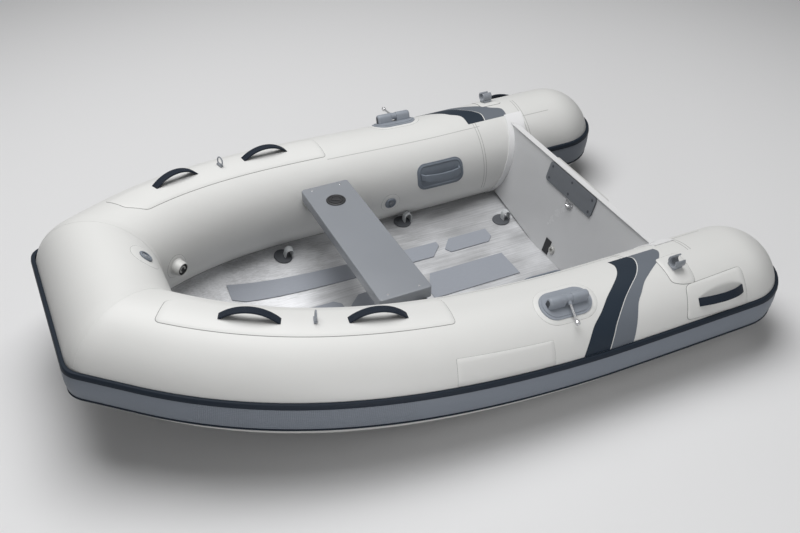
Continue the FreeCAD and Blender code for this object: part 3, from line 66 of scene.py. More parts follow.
class Value:
    """A number socket of a shader graph that takes part in plain arithmetic."""

    def __init__(self, graph: "Graph", socket: bpy.types.NodeSocket) -> None:
        """Keeps the graph and the socket.

        Args:
            graph: the graph that owns the socket.
            socket: the output that carries the value.
        """
        self.graph = graph
        self.socket = socket

    def _join(self, operation: str, first: Any, second: Any) -> "Value":
        """Adds one Math node and returns its result."""
        sockets = {0: first, 1: second}
        return self.graph.add("ShaderNodeMath", {"operation": operation}, sockets)

    def __add__(self, other: "Value | float") -> "Value":
        """Sum."""
        return self._join("ADD", self, other)

    __radd__ = __add__

    def __mul__(self, other: "Value | float") -> "Value":
        """Product."""
        return self._join("MULTIPLY", self, other)

    __rmul__ = __mul__

    def __sub__(self, other: "Value | float") -> "Value":
        """Difference."""
        return self._join("SUBTRACT", self, other)

    def __rsub__(self, other: float) -> "Value":
        """Difference from a number."""
        return self._join("SUBTRACT", other, self)

    def __abs__(self) -> "Value":
        """Size without sign."""
        return self._join("ABSOLUTE", self, 0.0)

    def sine(self) -> "Value":
        """Sine of the value, in radians."""
        return self._join("SINE", self, 0.0)

    def most(self, other: "Value") -> "Value":
        """The larger of two values."""
        return self._join("MAXIMUM", self, other)

    def step(self, low: float, high: float) -> "Value":
        """Smooth climb from nought at low to one at high.

        Args:
            low: where the climb starts.
            high: where it ends.

        Returns:
            The climb.
        """
        settings = {"interpolation_type": "SMOOTHSTEP"}
        sockets = {"Value": self, "From Min": low, "From Max": high}
        return self.graph.add("ShaderNodeMapRange", settings, sockets)


class Graph:
    """The node graph of one material, with the shader and output already in place."""

    def __init__(self, name: str) -> None:
        """Starts an empty material.

        Args:
            name: name of the new material.
        """
        self.material = bpy.data.materials.new(name)
        self.material.use_nodes = True
        self.tree = self.material.node_tree
        self.tree.nodes.clear()
        self.shader = self.tree.nodes.new("ShaderNodeBsdfPrincipled")
        output = self.tree.nodes.new("ShaderNodeOutputMaterial")
        self.tree.links.new(self.shader.outputs["BSDF"], output.inputs["Surface"])

    def plug(self, socket: bpy.types.NodeSocket, source: Any) -> None:
        """Sets or links one input.

        Args:
            socket: the input.
            source: a Value, a number, a colour or a vector.
        """
        if isinstance(source, Value):
            self.tree.links.new(source.socket, socket)
        elif isinstance(source, (tuple, list, Vector)) and socket.type == "RGBA":
            socket.default_value = (*source[:3], 1.0)
        else:
            socket.default_value = source

    def add(
        self, kind: str, settings: dict[str, Any], sockets: dict[Any, Any], out: Any = 0,
    ) -> Value:
        """Adds any node.

        Args:
            kind: Blender's type name of the node.
            settings: properties to set first.
            sockets: values or links of the inputs, by name or index.
            out: name or index of the output to return.

        Returns:
            The chosen output.
        """
        node = self.tree.nodes.new(kind)
        for name, setting in settings.items():
            setattr(node, name, setting)
        for key, source in sockets.items():
            self.plug(node.inputs[key], source)
        return Value(self, node.outputs[out])

    def place(self) -> Value:
        """Position on the object, in metres."""
        return self.add("ShaderNodeTexCoord", {}, {}, "Object")

    def run(self) -> Value:
        """Distance along and round a swept piece, in metres, from its own point values."""
        return self.add("ShaderNodeAttribute", {"attribute_name": "run"}, {}, "Vector")

    def part_of(self, vector: Value, axis: int) -> Value:
        """One component of a vector.

        Args:
            vector: the vector.
            axis: 0, 1 or 2.
        """
        return self.add("ShaderNodeSeparateXYZ", {}, {0: vector}, axis)

    def stretched(self, vector: Value, scale: Sequence[float]) -> Value:
        """A vector scaled along each axis."""
        sockets = {0: vector, 1: tuple(scale)}
        return self.add("ShaderNodeVectorMath", {"operation": "MULTIPLY"}, sockets)

    def noise(
        self, vector: Value, scale: float, detail: float = 2.0, roughness: float = 0.5,
    ) -> Value:
        """Smooth noise between nought and one.

        Args:
            vector: where to read it.
            scale: waves per metre.
            detail: octaves.
            roughness: weight of the finer octaves.
        """
        sockets = {"Vector": vector, "Scale": scale, "Detail": detail, "Roughness": roughness}
        return self.add("ShaderNodeTexNoise", {}, sockets)

    def mixed(self, share: Any, first: Any, second: Any) -> Value:
        """Blend of two colours, which a Mix node takes on sockets 6 and 7 and returns on 2."""
        return self.add("ShaderNodeMix", {"data_type": "RGBA"}, {0: share, 6: first, 7: second}, 2)

    def seen(self) -> Value:
        """One for rays from the camera, off gloss and through clear parts, else nought.

        Returns:
            The value.
        """
        kinds = ("Camera", "Glossy", "Transmission")
        rays = [self.add("ShaderNodeLightPath", {}, {}, f"Is {kind} Ray") for kind in kinds]
        return rays[0].most(rays[1]).most(rays[2])

    def bump(self, height: Value, distance: float) -> None:
        """Feeds a height, in parts of a distance in metres, to the shader's normal."""
        sockets = {"Strength": 1.0, "Distance": distance, "Height": height}
        self.set("Normal", self.add("ShaderNodeBump", {}, sockets))

    def set(self, socket: str, source: Any) -> None:
        """Sets or links one input of the shader."""
        self.plug(self.shader.inputs[socket], source)


def scaled(colour: Colour, share: float) -> Colour:
    """A colour times a share."""
    return tuple(channel * share for channel in colour)


@dataclass(frozen=True)
class Finish:
    """What every finish of the boat has."""

    name: str
    slot: str
    colour: Colour
    roughness: float
    sheen: float = 0.5

    def make(self) -> bpy.types.Material:
        """Builds the material.

        Returns:
            The finished material.
        """
        graph = Graph(self.name)
        graph.set("Base Color", self.colour)
        graph.set("Roughness", self.roughness)
        graph.set("Specular IOR Level", self.sheen)
        self.paint(graph)
        return graph.material

    def tint(self, graph: Graph, share: Value, low: float, high: float = 1.0) -> None:
        """Shades the colour between two shares of itself.

        Args:
            graph: the material's graph.
            share: nought for the low shade and one for the high one.
            low: the low shade, as a share of the colour.
            high: the high shade.
        """
        shades = (scaled(self.colour, low), scaled(self.colour, high))
        graph.set("Base Color", graph.mixed(share, *shades))

    def gloss(self, graph: Graph, share: Value, spread: float) -> None:
        """Varies the roughness by a spread about its own value."""
        graph.set("Roughness", share * spread + (self.roughness - spread / 2))

    def paint(self, graph: Graph) -> None:
        """Adds what this finish shows over its plain colour.

        Args:
            graph: the graph of the material.
        """
        raise NotImplementedError


@dataclass(frozen=True)
class CoatedCloth(Finish):
    """Coated tube cloth: faint mottling, a fine woven grain and soft gloss."""

    grain: float = 0.00012
    grain_scale: float = 900.0
    grain_gloss: float = 0.14
    mottle_scale: float = 6.0
    mottle_shade: float = 0.965
    mottle_gloss: float = 0.04
    weave: float = 0.0012
    weave_relief: float = 0.08
    wander_scale: float = 40.0
    wander: float = 1.5
    pucker_scale: float = 14.0
    pucker_relief: float = 2.0

    def paint(self, graph: Graph) -> None:
        """Adds mottling, grain and weave.

        Args:
            graph: the graph of the material.
        """
        place = graph.place()
        mottle = graph.noise(place, self.mottle_scale, 4.0)
        self.tint(graph, mottle, self.mottle_shade)
        fine = graph.noise(place, self.grain_scale, 3.0, 0.6)
        rough = fine * self.grain_gloss + (self.roughness - self.grain_gloss / 2)
        graph.set("Roughness", rough + mottle * self.mottle_gloss)
        turn = 2 * math.pi / self.weave
        threads = []
        for axis in (0, 1, 2):
            wander = graph.noise(place, self.wander_scale) * self.wander
            threads.append((graph.part_of(place, axis) * turn + wander).sine())
        woven = (threads[0] * threads[1] + threads[2]) * self.weave_relief
        pucker = graph.noise(place, self.pucker_scale) * self.pucker_relief
        graph.bump(fine + woven + pucker, self.grain)


@dataclass(frozen=True)
class RubberStrip(Finish):
    """Extruded rubber: fine ribs along it, and a crosshatched stretch where it says so."""

    rib: float = 0.003
    rib_relief: float = 0.25
    depth: float = 0.0004
    grain_scale: float = 700.0
    grain_relief: float = 0.5
    scuff_stretch: Triple = (9.0, 160.0, 1.0)
    scuff_gloss: float = 0.2
    hatch: Spot = (0.0, 0.0)
    hatch_pitch: float = 0.013
    hatch_relief: float = 1.6
    hatch_painted_shade: float = 0.6
    hatch_fade: float = 0.93

    def paint(self, graph: Graph) -> None:
        """Adds ribs, hatching and scuffs.

        Args:
            graph: the graph of the material.
        """
        run = graph.run()
        along, across = graph.part_of(run, 0), graph.part_of(run, 1)
        place = graph.place()
        scuff_and_hatch_shade = graph.noise(graph.stretched(run, self.scuff_stretch), 4.0, 4.0, 0.6)
        self.gloss(graph, scuff_and_hatch_shade, self.scuff_gloss)
        ribs = (across * (2 * math.pi / self.rib)).sine()
        grain = graph.noise(place, self.grain_scale, 2.0)
        relief = ribs * self.rib_relief + grain * self.grain_relief
        start, end = self.hatch
        if end > start:
            turn = 2 * math.pi / self.hatch_pitch
            one, other = ((along + across) * turn).sine(), ((along - across) * turn).sine()
            middle, half = (start + end) / 2, (end - start) / 2
            inside = 1 - abs(along - middle).step(self.hatch_fade * half, half)
            crossed = one * other * inside
            relief = relief + crossed * self.hatch_relief
            # The crossing also lightens and darkens the colour: painted light and shade of the
            # hatch's relief.
            scuff_and_hatch_shade = scuff_and_hatch_shade + crossed * self.hatch_painted_shade
        self.tint(graph, scuff_and_hatch_shade, 0.86, 1.1)
        graph.bump(relief, self.depth)


@dataclass(frozen=True)
class MouldedPlastic(Finish):
    """Moulded plastic or rubber: a fine spark-eroded grain and rubbed high spots."""

    grain_scale: float = 1400.0
    grain_gloss: float = 0.2
    depth: float = 0.00012
    patch_scale: float = 35.0

    def paint(self, graph: Graph) -> None:
        """Adds grain and slight shading.

        Args:
            graph: the graph of the material.
        """
        place = graph.place()
        self.tint(graph, graph.noise(place, self.patch_scale, 3.0), 0.88, 1.08)
        grain = graph.noise(place, self.grain_scale, 3.0, 0.65)
        self.gloss(graph, grain, self.grain_gloss)
        graph.bump(grain, self.depth)


@dataclass(frozen=True)
class WovenStrap(Finish):
    """Rubbered webbing: threads across its width and a soft pile."""

    thread: float = 0.0022
    cross_share: float = 0.7
    pile_scale: float = 500.0
    pile_gloss: float = 0.2
    pile_shade: float = 0.3
    depth: float = 0.0005

    def paint(self, graph: Graph) -> None:
        """Adds threads both ways.

        Args:
            graph: the graph of the material.
        """
        run = graph.run()
        turn = 2 * math.pi / self.thread
        along = (graph.part_of(run, 0) * turn).sine()
        across = (graph.part_of(run, 1) * (self.cross_share * turn)).sine()
        pile = graph.noise(graph.place(), self.pile_scale, 3.0, 0.7)
        lit = along * across * 0.25 + 0.5 + pile * self.pile_shade - self.pile_shade / 2
        self.tint(graph, lit, 0.6, 1.35)
        self.gloss(graph, pile, self.pile_gloss)
        graph.bump(along * across * 0.5 + pile, self.depth)


@dataclass(frozen=True)
class BrushedMetal(Finish):
    """Rolled and brushed sheet: streaks along the boat and cloudy gloss."""

    metallic: float = 1.0
    contrast: float = 0.16
    streak_stretch: Triple = (3.0, 260.0, 260.0)
    streak_gloss: float = 0.12
    cloud_stretch: Triple = (1.0, 2.2, 1.0)
    cloud_gloss: float = 0.12
    streak_share: float = 0.45
    cloud_share: float = 0.55
    shade_range: Spot = (0.34, 0.66)
    depth: float = 0.00018

    def paint(self, graph: Graph) -> None:
        """Adds streaks and clouds.

        Args:
            graph: the graph of the material.
        """
        place = graph.place()
        streaks = graph.noise(graph.stretched(place, self.streak_stretch), 1.0, 4.0, 0.7)
        clouds = graph.noise(graph.stretched(place, self.cloud_stretch), 3.4, 5.0, 0.55)
        graph.set("Metallic", self.metallic)
        shade = streaks * self.streak_share + clouds * self.cloud_share
        self.tint(graph, shade.step(*self.shade_range), 1 - self.contrast, 1.06)
        rough = streaks * self.streak_gloss + clouds * self.cloud_gloss
        graph.set("Roughness", rough + (self.roughness - 0.1))
        graph.bump(streaks, self.depth)


@dataclass(frozen=True)
class PaintedMetal(Finish):
    """Powder-coated metal: orange peel, a touch of grime and an even gloss."""

    peel: float = 0.00025
    peel_scale: float = 260.0
    grime_scale: float = 7.0
    grime_gloss: float = 0.16
    coat: float = 0.2

    def paint(self, graph: Graph) -> None:
        """Adds orange peel and grime.

        Args:
            graph: the graph of the material.
        """
        place = graph.place()
        grime = graph.noise(place, self.grime_scale, 5.0, 0.6)
        self.tint(graph, grime, 0.93)
        self.gloss(graph, grime, self.grime_gloss)
        graph.set("Coat Weight", self.coat)
        graph.bump(graph.noise(place, self.peel_scale, 2.0), self.peel)


@dataclass(frozen=True)
class BrushedFoam(Finish):
    """Brushed foam deck pad: fine streaks and a closed-cell grain."""

    streak_stretch: Triple = (40.0, 500.0, 40.0)
    cell_scale: float = 1200.0
    cell_share: float = 0.6
    depth: float = 0.0003

    def paint(self, graph: Graph) -> None:
        """Adds streaks and cells.

        Args:
            graph: the graph of the material.
        """
        place = graph.place()
        streaks = graph.noise(graph.stretched(place, self.streak_stretch), 1.0, 3.0, 0.7)
        cells = graph.noise(place, self.cell_scale, 2.0, 0.6)
        self.tint(graph, streaks, 0.9, 1.08)
        graph.set("Roughness", cells * 0.15 + (self.roughness - 0.08))
        graph.bump(cells * self.cell_share + streaks * (1 - self.cell_share), self.depth)


@dataclass(frozen=True)
class Steel(Finish):
    """Polished stainless steel with faint turning marks."""

    mark_scale: float = 600.0
    mark_gloss: float = 0.12
    depth: float = 0.00005

    def paint(self, graph: Graph) -> None:
        """Adds faint marks.

        Args:
            graph: the graph of the material.
        """
        marks = graph.noise(graph.place(), self.mark_scale, 3.0, 0.6)
        graph.set("Metallic", 1.0)
        self.tint(graph, marks, 0.9)
        self.gloss(graph, marks, self.mark_gloss)
        graph.bump(marks, self.depth)


@dataclass(frozen=True)
class ClearPlastic(Finish):
    """A pale, slightly see-through valve body."""

    cloud_scale: float = 90.0
    cloud_gloss: float = 0.1
    clearness: float = 0.35

    def paint(self, graph: Graph) -> None:
        """Adds a milky depth.

        Args:
            graph: the graph of the material.
        """
        cloud = graph.noise(graph.place(), self.cloud_scale, 3.0)
        self.tint(graph, cloud, 0.85)
        self.gloss(graph, cloud, self.cloud_gloss)
        graph.set("Transmission Weight", self.clearness)


class Look(Enum):
    """The finishes of the boat, by what wears them."""

    TUBE = CoatedCloth("tube_cloth", "tube_fabric", (0.70, 0.70, 0.685), 0.46)
    PATCH = CoatedCloth("patch_cloth", "patch_fabric", (0.715, 0.715, 0.70), 0.48)
    TAPE = CoatedCloth("seam_tape", "tube_fabric", (0.69, 0.69, 0.675), 0.5)
    SEAM = CoatedCloth("glued_seam", "tube_fabric", (0.42, 0.42, 0.41), 0.6)
    # Dark line round each patch: glue, and painted shadow under the patch's edge.
    GLUE_AND_SHADE = CoatedCloth("glue_and_shadow_line", "tube_fabric", (0.24, 0.24, 0.235), 0.6)
    NAVY_CLOTH = CoatedCloth(
        "navy_cloth", "navy_webbing", (0.010, 0.019, 0.032), 0.5, sheen=0.3,
    )
    GREY_CLOTH = CoatedCloth("grey_cloth", "strake_rubber", (0.125, 0.142, 0.167), 0.5)
    STRAKE = RubberStrip(
        "strake_rubber", "strake_rubber", (0.195, 0.22, 0.26), 0.5, hatch=(0.40, 1.15),
    )
    BEAD = RubberStrip(
        "bead_rubber", "navy_rubber", (0.006, 0.012, 0.022), 0.6, sheen=0.25, rib=0.02,
    )
    HANDLE = WovenStrap("handle_strap", "navy_webbing", (0.009, 0.015, 0.026), 0.6, sheen=0.2)
    STRAP = WovenStrap("lifting_strap", "strap_webbing", (0.52, 0.54, 0.55), 0.6)
    MOULDING = MouldedPlastic("grey_moulding", "grey_moulding", (0.16, 0.185, 0.22), 0.46)
    ROWLOCK = MouldedPlastic("rowlock_moulding", "grey_moulding", (0.27, 0.295, 0.335), 0.42)
    VALVE = MouldedPlastic("valve_plastic", "valve_plastic", (0.18, 0.205, 0.24), 0.42)
    FOOT = MouldedPlastic("loop_foot", "black_rubber", (0.075, 0.08, 0.09), 0.55)
    # Near-black: painted shade at the lugs' ends and in the valve wells, and the dark heads of the
    # pad's screws.
    DARK_AND_SHADE = MouldedPlastic("dark_and_painted_shade", "grey_moulding", (0.045, 0.05, 0.06), 0.55)
    CLIP = MouldedPlastic("clip_moulding", "grey_moulding", (0.27, 0.29, 0.32), 0.4)
    PALE = MouldedPlastic("pale_moulding", "pale_moulding", (0.6, 0.6, 0.585), 0.38)
    BLACK = MouldedPlastic("black_rubber", "black_rubber", (0.014, 0.014, 0.016), 0.5)
    PAD_PLASTIC = MouldedPlastic("clamp_pad", "pad_plastic", (0.13, 0.14, 0.155), 0.45)
    SEAT = PaintedMetal("seat_paint", "seat_paint", (0.24, 0.255, 0.28), 0.42)
    WHITE = PaintedMetal("white_paint", "white_paint", (0.82, 0.82, 0.825), 0.32)
    ALUMINIUM = BrushedMetal(
        "brushed_floor", "bare_aluminium", (0.64, 0.645, 0.66), 0.5, metallic=0.5, contrast=0.45,
    )
    # Same metal as the floor sheet, made darker: painted shade where the tubes meet the floor.
    SADDLE_SHADE = BrushedMetal("hull_sheet_shaded", "bare_aluminium", (0.36, 0.36, 0.37), 0.5)
    TRANSOM = PaintedMetal("transom_paint", "white_paint", (0.52, 0.525, 0.535), 0.24)
    KEEL = MouldedPlastic("keel_rubber", "keel_rubber", (0.03, 0.033, 0.036), 0.6)
    FOAM = BrushedFoam("foam_pad", "foam_pad", (0.30, 0.32, 0.36), 0.62)
    STEEL = Steel("stainless_steel", "stainless_steel", (0.72, 0.72, 0.73), 0.24)
    CLEAR = ClearPlastic("drain_plastic", "pale_moulding", (0.62, 0.62, 0.6), 0.25)


class Paintshop:
    """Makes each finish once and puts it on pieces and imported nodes."""

    def __init__(self) -> None:
        """Starts with no materials made."""
        self._made: dict[Look, bpy.types.Material] = {}

    def material(self, look: Look) -> bpy.types.Material:
        """The material of a finish, made the first time it is asked for.

        Args:
            look: the finish.

        Returns:
            Its material.
        """
        if look not in self._made:
            self._made[look] = look.value.make()
        return self._made[look]

    def dress(self, node: str, look: Look) -> None:
        """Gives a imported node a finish.

        Args:
            node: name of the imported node.
            look: its finish.
        """
        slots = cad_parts[node].data.materials
        slots.clear()
        slots.append(self.material(look))


SHOP = Paintshop()


# Meshes

def add_piece(
    name: str, points: Sequence[Vector], faces: Sequence[Sequence[int]], look: Look,
    side: int = PORT, crisp: float = 40.0, runs: Sequence[Vector] = (),
    rim: Look | None = None, rim_faces: int = 0,
) -> bpy.types.Object:
    """Makes one closed piece of the boat.

    Args:
        name: name of the piece.
        points: corners in millimetres, on the port side.
        faces: corner numbers of each face.
        look: its finish.
        side: PORT as given, or STARBOARD mirrored.
        crisp: edges that turn by more degrees than this stay sharp.
        runs: distance along and round the piece for each corner, in metres.
        rim: finish of its last faces, where that is another.
        rim_faces: how many faces that is.

    Returns:
        The new object, riding on the hull.
    """
    mesh = bpy.data.meshes.new(name)
    mesh.from_pydata([(p.x * MM, p.y * MM * side, p.z * MM) for p in points], [], faces)
    mesh.materials.append(SHOP.material(look))
    if rim is not None:
        mesh.materials.append(SHOP.material(rim))
        first = len(faces) - rim_faces
        slots = [int(i >= first) for i in range(len(faces))]
        mesh.polygons.foreach_set("material_index", slots)
    skin = bmesh.new()
    skin.from_mesh(mesh)
    bmesh.ops.recalc_face_normals(skin, faces=skin.faces[:])
    skin.to_mesh(mesh)
    skin.free()
    if runs:
        store = mesh.attributes.new("run", "FLOAT_VECTOR", "POINT")
        store.data.foreach_set("vector", [value for run in runs for value in run])
    mesh.shade_smooth()
    mesh.set_sharp_from_angle(angle=math.radians(crisp))
    piece = bpy.data.objects.new(name, mesh)
    bpy.context.scene.collection.objects.link(piece)
    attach(piece, HULL)
    LOG.info("piece %s: %d faces", name, len(faces))
    return piece


def loft_faces(rings: int, size: int, joined: bool = False) -> list[tuple[int, ...]]:
    """Faces of a skin through rings of equal size.

    Args:
        rings: number of rings.
        size: points in a ring.
        joined: the last ring joins the first, in place of two end faces.

    Returns:
        Corner numbers of each face.
    """
    faces: list[tuple[int, ...]] = []
    for ring in range(rings if joined else rings - 1):
        low, high = ring * size, (ring + 1) % rings * size
        for i in range(size):
            j = (i + 1) % size
            faces.append((low + i, low + j, high + j, high + i))
    if not joined:
        faces.append(tuple(reversed(range(size))))
        faces.append(tuple(range((rings - 1) * size, rings * size)))
    return faces


def hooped(
    name: str, rings: Sequence[Ring], look: Look, side: int, crisp: float,
) -> bpy.types.Object:
    """A closed piece whose last ring joins its first."""
    points = [point for outline in rings for point in outline]
    return add_piece(name, points, loft_faces(len(rings), len(rings[0]), True), look, side, crisp)


def stand_for(node: str, *pieces: bpy.types.Object) -> None:
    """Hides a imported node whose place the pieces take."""
    for piece in pieces:
        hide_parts(node)


def packed_box(node: str) -> tuple[Vector, Vector]:
    """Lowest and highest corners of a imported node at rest, in millimetres."""
    low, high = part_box(node)
    return low / MM, high / MM


# The tubes' own frame

@dataclass(frozen=True)
class Section:
    """A cross-section of a tube: its middle and its forward, outboard and up directions."""

    middle: Vector
    forward: Vector
    outboard: Vector
    up: Vector
    seam: Vector | None = None
    seam_point: Vector | None = None

    def at(self, angle: float, radius: float) -> Vector:
        """A point round the section.

        Args:
            angle: degrees from outboard over the top.
            radius: distance from the middle.

        Returns:
            The point, slid along the tube onto the mitre plane where the section has one.
        """
        turn = math.radians(angle)
        beside = self.middle + self.outboard * (radius * math.cos(turn))
        point = beside + self.up * (radius * math.sin(turn))
        if self.seam is not None:
            gap = (self.seam_point - point).dot(self.seam) / self.forward.dot(self.seam)
            point = point + self.forward * gap
        return point

    def turned(self, degrees: float) -> "Section":
        """The section swung aft about the upright through its middle.

        Args:
            degrees: how far.

        Returns:
            The swung section.
        """
        turn = math.radians(degrees)
        outboard = self.outboard * math.cos(turn) - self.forward * math.sin(turn)
        forward = self.forward * math.cos(turn) + self.outboard * math.sin(turn)
        return Section(self.middle, forward, outboard, self.up)


@dataclass(frozen=True)
class TubeLine:
    """The axis of the port tube, in millimetres, with stations measured from the stern end."""

    length: float = 2616.0
    radius: float = 210.0
    half: float = 645.0
    bow_half: float = 226.0
    lead: float = 337.0
    power: float = 5.88
    bow_straight: float = 116.0
    rise: float = 163.0
    rise_start: float = 825.0
    rise_power: float = 1.6
    height: float = 223.0
    corner_sharp: float = 3.0
    corner_soft: float = 67.0
    corner_power: float = 1.2
    softest_angle: float = 20.0

    @property
    def bow(self) -> float:
        """Station of the bow tube's axis."""
        return self.length - self.radius

    @property
    def straight(self) -> float:
        """Station where the straight run to the bow seam starts."""
        return self.bow - self.bow_straight

    @property
    def origin(self) -> float:
        """Station of the middle of the boat."""
        return self.length / 2

    def plan(self, station: float) -> float:
        """Distance of the axis from the middle line on the curved stretch."""
        share = (station + self.lead) / (self.bow + self.lead)
        return self.half - (self.half - self.bow_half) * share ** self.power

    def sheer(self, station: float) -> float:
        """Height of the axis above its after part on the curved stretch."""
        share = max(station - self.rise_start, 0.0) / (self.bow - self.rise_start)
        return self.rise * share ** self.rise_power

    def section(self, station: float) -> Section:
        """Cross-section at a station.

        Args:
            station: where along the tube.

        Returns:
            The section there.
        """
        held = min(station, self.straight)
        slopes = [curve(held + 1) - curve(held - 1) for curve in (self.plan, self.sheer)]
        plan_slope, sheer_slope = slopes[0] / 2, slopes[1] / 2
        forward = Vector((1, plan_slope, sheer_slope)).normalized()
        outboard = Vector((-forward.y, forward.x, 0)).normalized()
        middle = Vector((
            station - self.origin,
            self.plan(held) + plan_slope * (station - held),
            self.height + self.sheer(held) + sheer_slope * (station - held),
        ))
        return Section(middle, forward, outboard, forward.cross(outboard))

    @property
    def bow_middle(self) -> Vector:
        """Middle of the bow tube."""
        return Vector((self.bow - self.origin, 0.0, self.section(self.bow).middle.z))

    def seam(self) -> Section:
        """Cross-section on the port bow mitre.

        Returns:
            The section, with its mitre plane.
        """
        corner = self.section(self.bow)
        middle, normal = corner.middle, (corner.forward + Vector((0, -1, 0))).normalized()
        return Section(middle, corner.forward, corner.outboard, corner.up, normal, middle)

    def corner_reach(self, angle: float) -> float:
        """How far from the mitre the cloth starts to bend at an angle: least inside the corner.

        Args:
            angle: degrees from outboard over the top.

        Returns:
            The distance.
        """
        turn = math.radians(angle - self.softest_angle)
        softness = ((1 + math.cos(turn)) / 2) ** self.corner_power
        return self.corner_sharp + self.corner_soft * softness

    def corner(
        self, angle: float, radius: float, along: float, reach: float | None = None,
    ) -> Vector:
        """A point near the port bow corner, which bends over a rounded mitre.

        Args:
            angle: degrees from outboard over the top of the side tube.
            radius: distance from the axis.
            along: distance past the mitre, negative on the side tube.
            reach: how far from the mitre the bend starts, where it isn't the cloth's own.

        Returns:
            The point.
        """
        reach = self.corner_reach(angle) if reach is None else reach
        mitre = self.seam().at(angle, radius)
        forward, inward = self.section(self.bow).forward, Vector((0, -1, 0))
        if abs(along) >= reach:
            return mitre + (forward if along < 0 else inward) * along
        share = (along + reach) / (2 * reach)
        return mitre - forward * (reach * (1 - share) ** 2) + inward * (reach * share ** 2)

    def stations(self, start: float, end: float, step: float = 28.0) -> list[float]:
        """Evenly spaced stations from start to end."""
        count = max(1, round(abs(end - start) / step))
        return [start + (end - start) * i / count for i in range(count + 1)]

    def seat(self, station: float, angle: float, lift: float, reach: float = 0.0) -> Matrix:
        """A place on the skin: X along the tube and Z straight out.

        Args:
            station: where along the tube.
            angle: degrees from outboard over the top.
            lift: height above the skin.
            reach: half the length of a foot that stands clear of the bent tube.

        Returns:
            The place, in millimetres.
        """
        section, turn = self.section(station), math.radians(angle)
        spots = [
            self.section(station + way * reach).at(angle, self.radius + lift) for way in (-1, 0, 1)
        ]
        out = section.outboard * math.cos(turn) + section.up * math.sin(turn)
        if reach:
            along = (spots[2] - spots[0]).normalized()
        else:
            along = section.forward.normalized()
            along = (along - out * along.dot(out)).normalized()
        out = (out - along * out.dot(along)).normalized()
        clear = max((spot - spots[1]).dot(out) for spot in spots)
        return framed(along, out, spots[1] + out * clear)

    def bow_seat(self, starboard: float, angle: float, lift: float) -> Matrix:
        """The same on the bow tube, by distance to starboard and degrees from its front.

        Args:
            starboard: distance to starboard.
            angle: degrees from the front over the top.
            lift: height above the skin.

        Returns:
            The place, in millimetres.
        """
        turn = math.radians(angle)
        out = Vector((math.cos(turn), 0, math.sin(turn)))
        spot = self.bow_middle + out * (self.radius + lift) - Vector((0, starboard, 0))
        return framed(Vector((0, -1, 0)), out, spot)


def framed(along: Vector, out: Vector, spot: Vector) -> Matrix:
    """A place with X along, Z out and its origin on a spot.

    Args:
        along: its X.
        out: its Z.
        spot: its origin.

    Returns:
        The place.
    """
    place = Matrix((along, out.cross(along), out)).transposed().to_4x4()
    place.translation = spot
    return place


LINE = TubeLine()


def ring(section: Section, profile: Outline) -> Ring:
    """A closed outline of angle and radius pairs, placed on a section."""
    return [section.at(angle, radius) for angle, radius in profile]


def skinned(
    name: str, rings: Sequence[Ring], look: Look, side: int = PORT, crisp: float = 40.0,
    runs: Sequence[Vector] = (), rim: Look | None = None, rim_faces: int = 0,
) -> bpy.types.Object:
    """A closed piece with its skin through a row of rings.

    Args:
        name: name of the piece.
        rings: closed outlines of equal size, from one end to the other.
        look: its finish.
        side: PORT or STARBOARD.
        crisp: edges that turn by more degrees than this stay sharp.
        runs: distances along and round it, measured on the rings where none are given.
        rim: finish of its end faces, where that is another.
        rim_faces: how many of the end faces wear it, from the last.

    Returns:
        The new piece.
    """
    if not runs:
        along, runs = 0.0, []
        for i, points in enumerate(rings):
            along += (points[0] - rings[i - 1][0]).length * MM if i else 0.0
            round_it = 0.0
            for j, point in enumerate(points):
                round_it += (point - points[j - 1]).length * MM if j else 0.0
                runs.append(Vector((along, round_it, 0)))
    points = [point for outline in rings for point in outline]
    faces = loft_faces(len(rings), len(rings[0]))
    return add_piece(name, points, faces, look, side, crisp, runs, rim, rim_faces)


def whole_ring(radius: float, count: int = 96) -> list[Spot]:
    """Outline of a full tube."""
    return [(-360.0 * i / count, radius) for i in range(count)]


def shares(steps: int) -> list[float]:
    """Evenly spaced shares from nought to one."""
    return [i / steps for i in range(steps + 1)]


def mirrored(rings: Sequence[Ring]) -> list[Ring]:
    """Rings of the port half of a bow run, carried on over the starboard half."""
    return [[Vector((p.x, -p.y, p.z)) for p in points] for points in reversed(rings)]


def strip_profile(
    low: float, high: float, inner: float, outer: float, round_over: float,
) -> list[Spot]:
    """Outline of a strip on the tube with its outer edges rounded.

    Args:
        low: lower edge in degrees.
        high: upper edge in degrees.
        inner: radius of its foot.
        outer: radius of its crown.
        round_over: radius of the rounding in millimetres.

    Returns:
        Angle and radius pairs round the strip.
    """
    turn = math.degrees(round_over / outer)
    arc = [(1 - math.cos(a), 1 - math.sin(a)) for a in (math.pi * k / 8 for k in range(5))]
    crown_low = [(low + turn * x, outer - round_over * y) for x, y in arc]
    crown_high = [(high - turn * x, outer - round_over * y) for x, y in reversed(arc)]
    steps = max(2, int((high - low) / 4))
    crown = [(low + turn + (high - low - 2 * turn) * i / steps, outer) for i in range(1, steps)]
    return [(high, inner), (low, inner), *crown_low, *crown, *crown_high]


# Air chambers

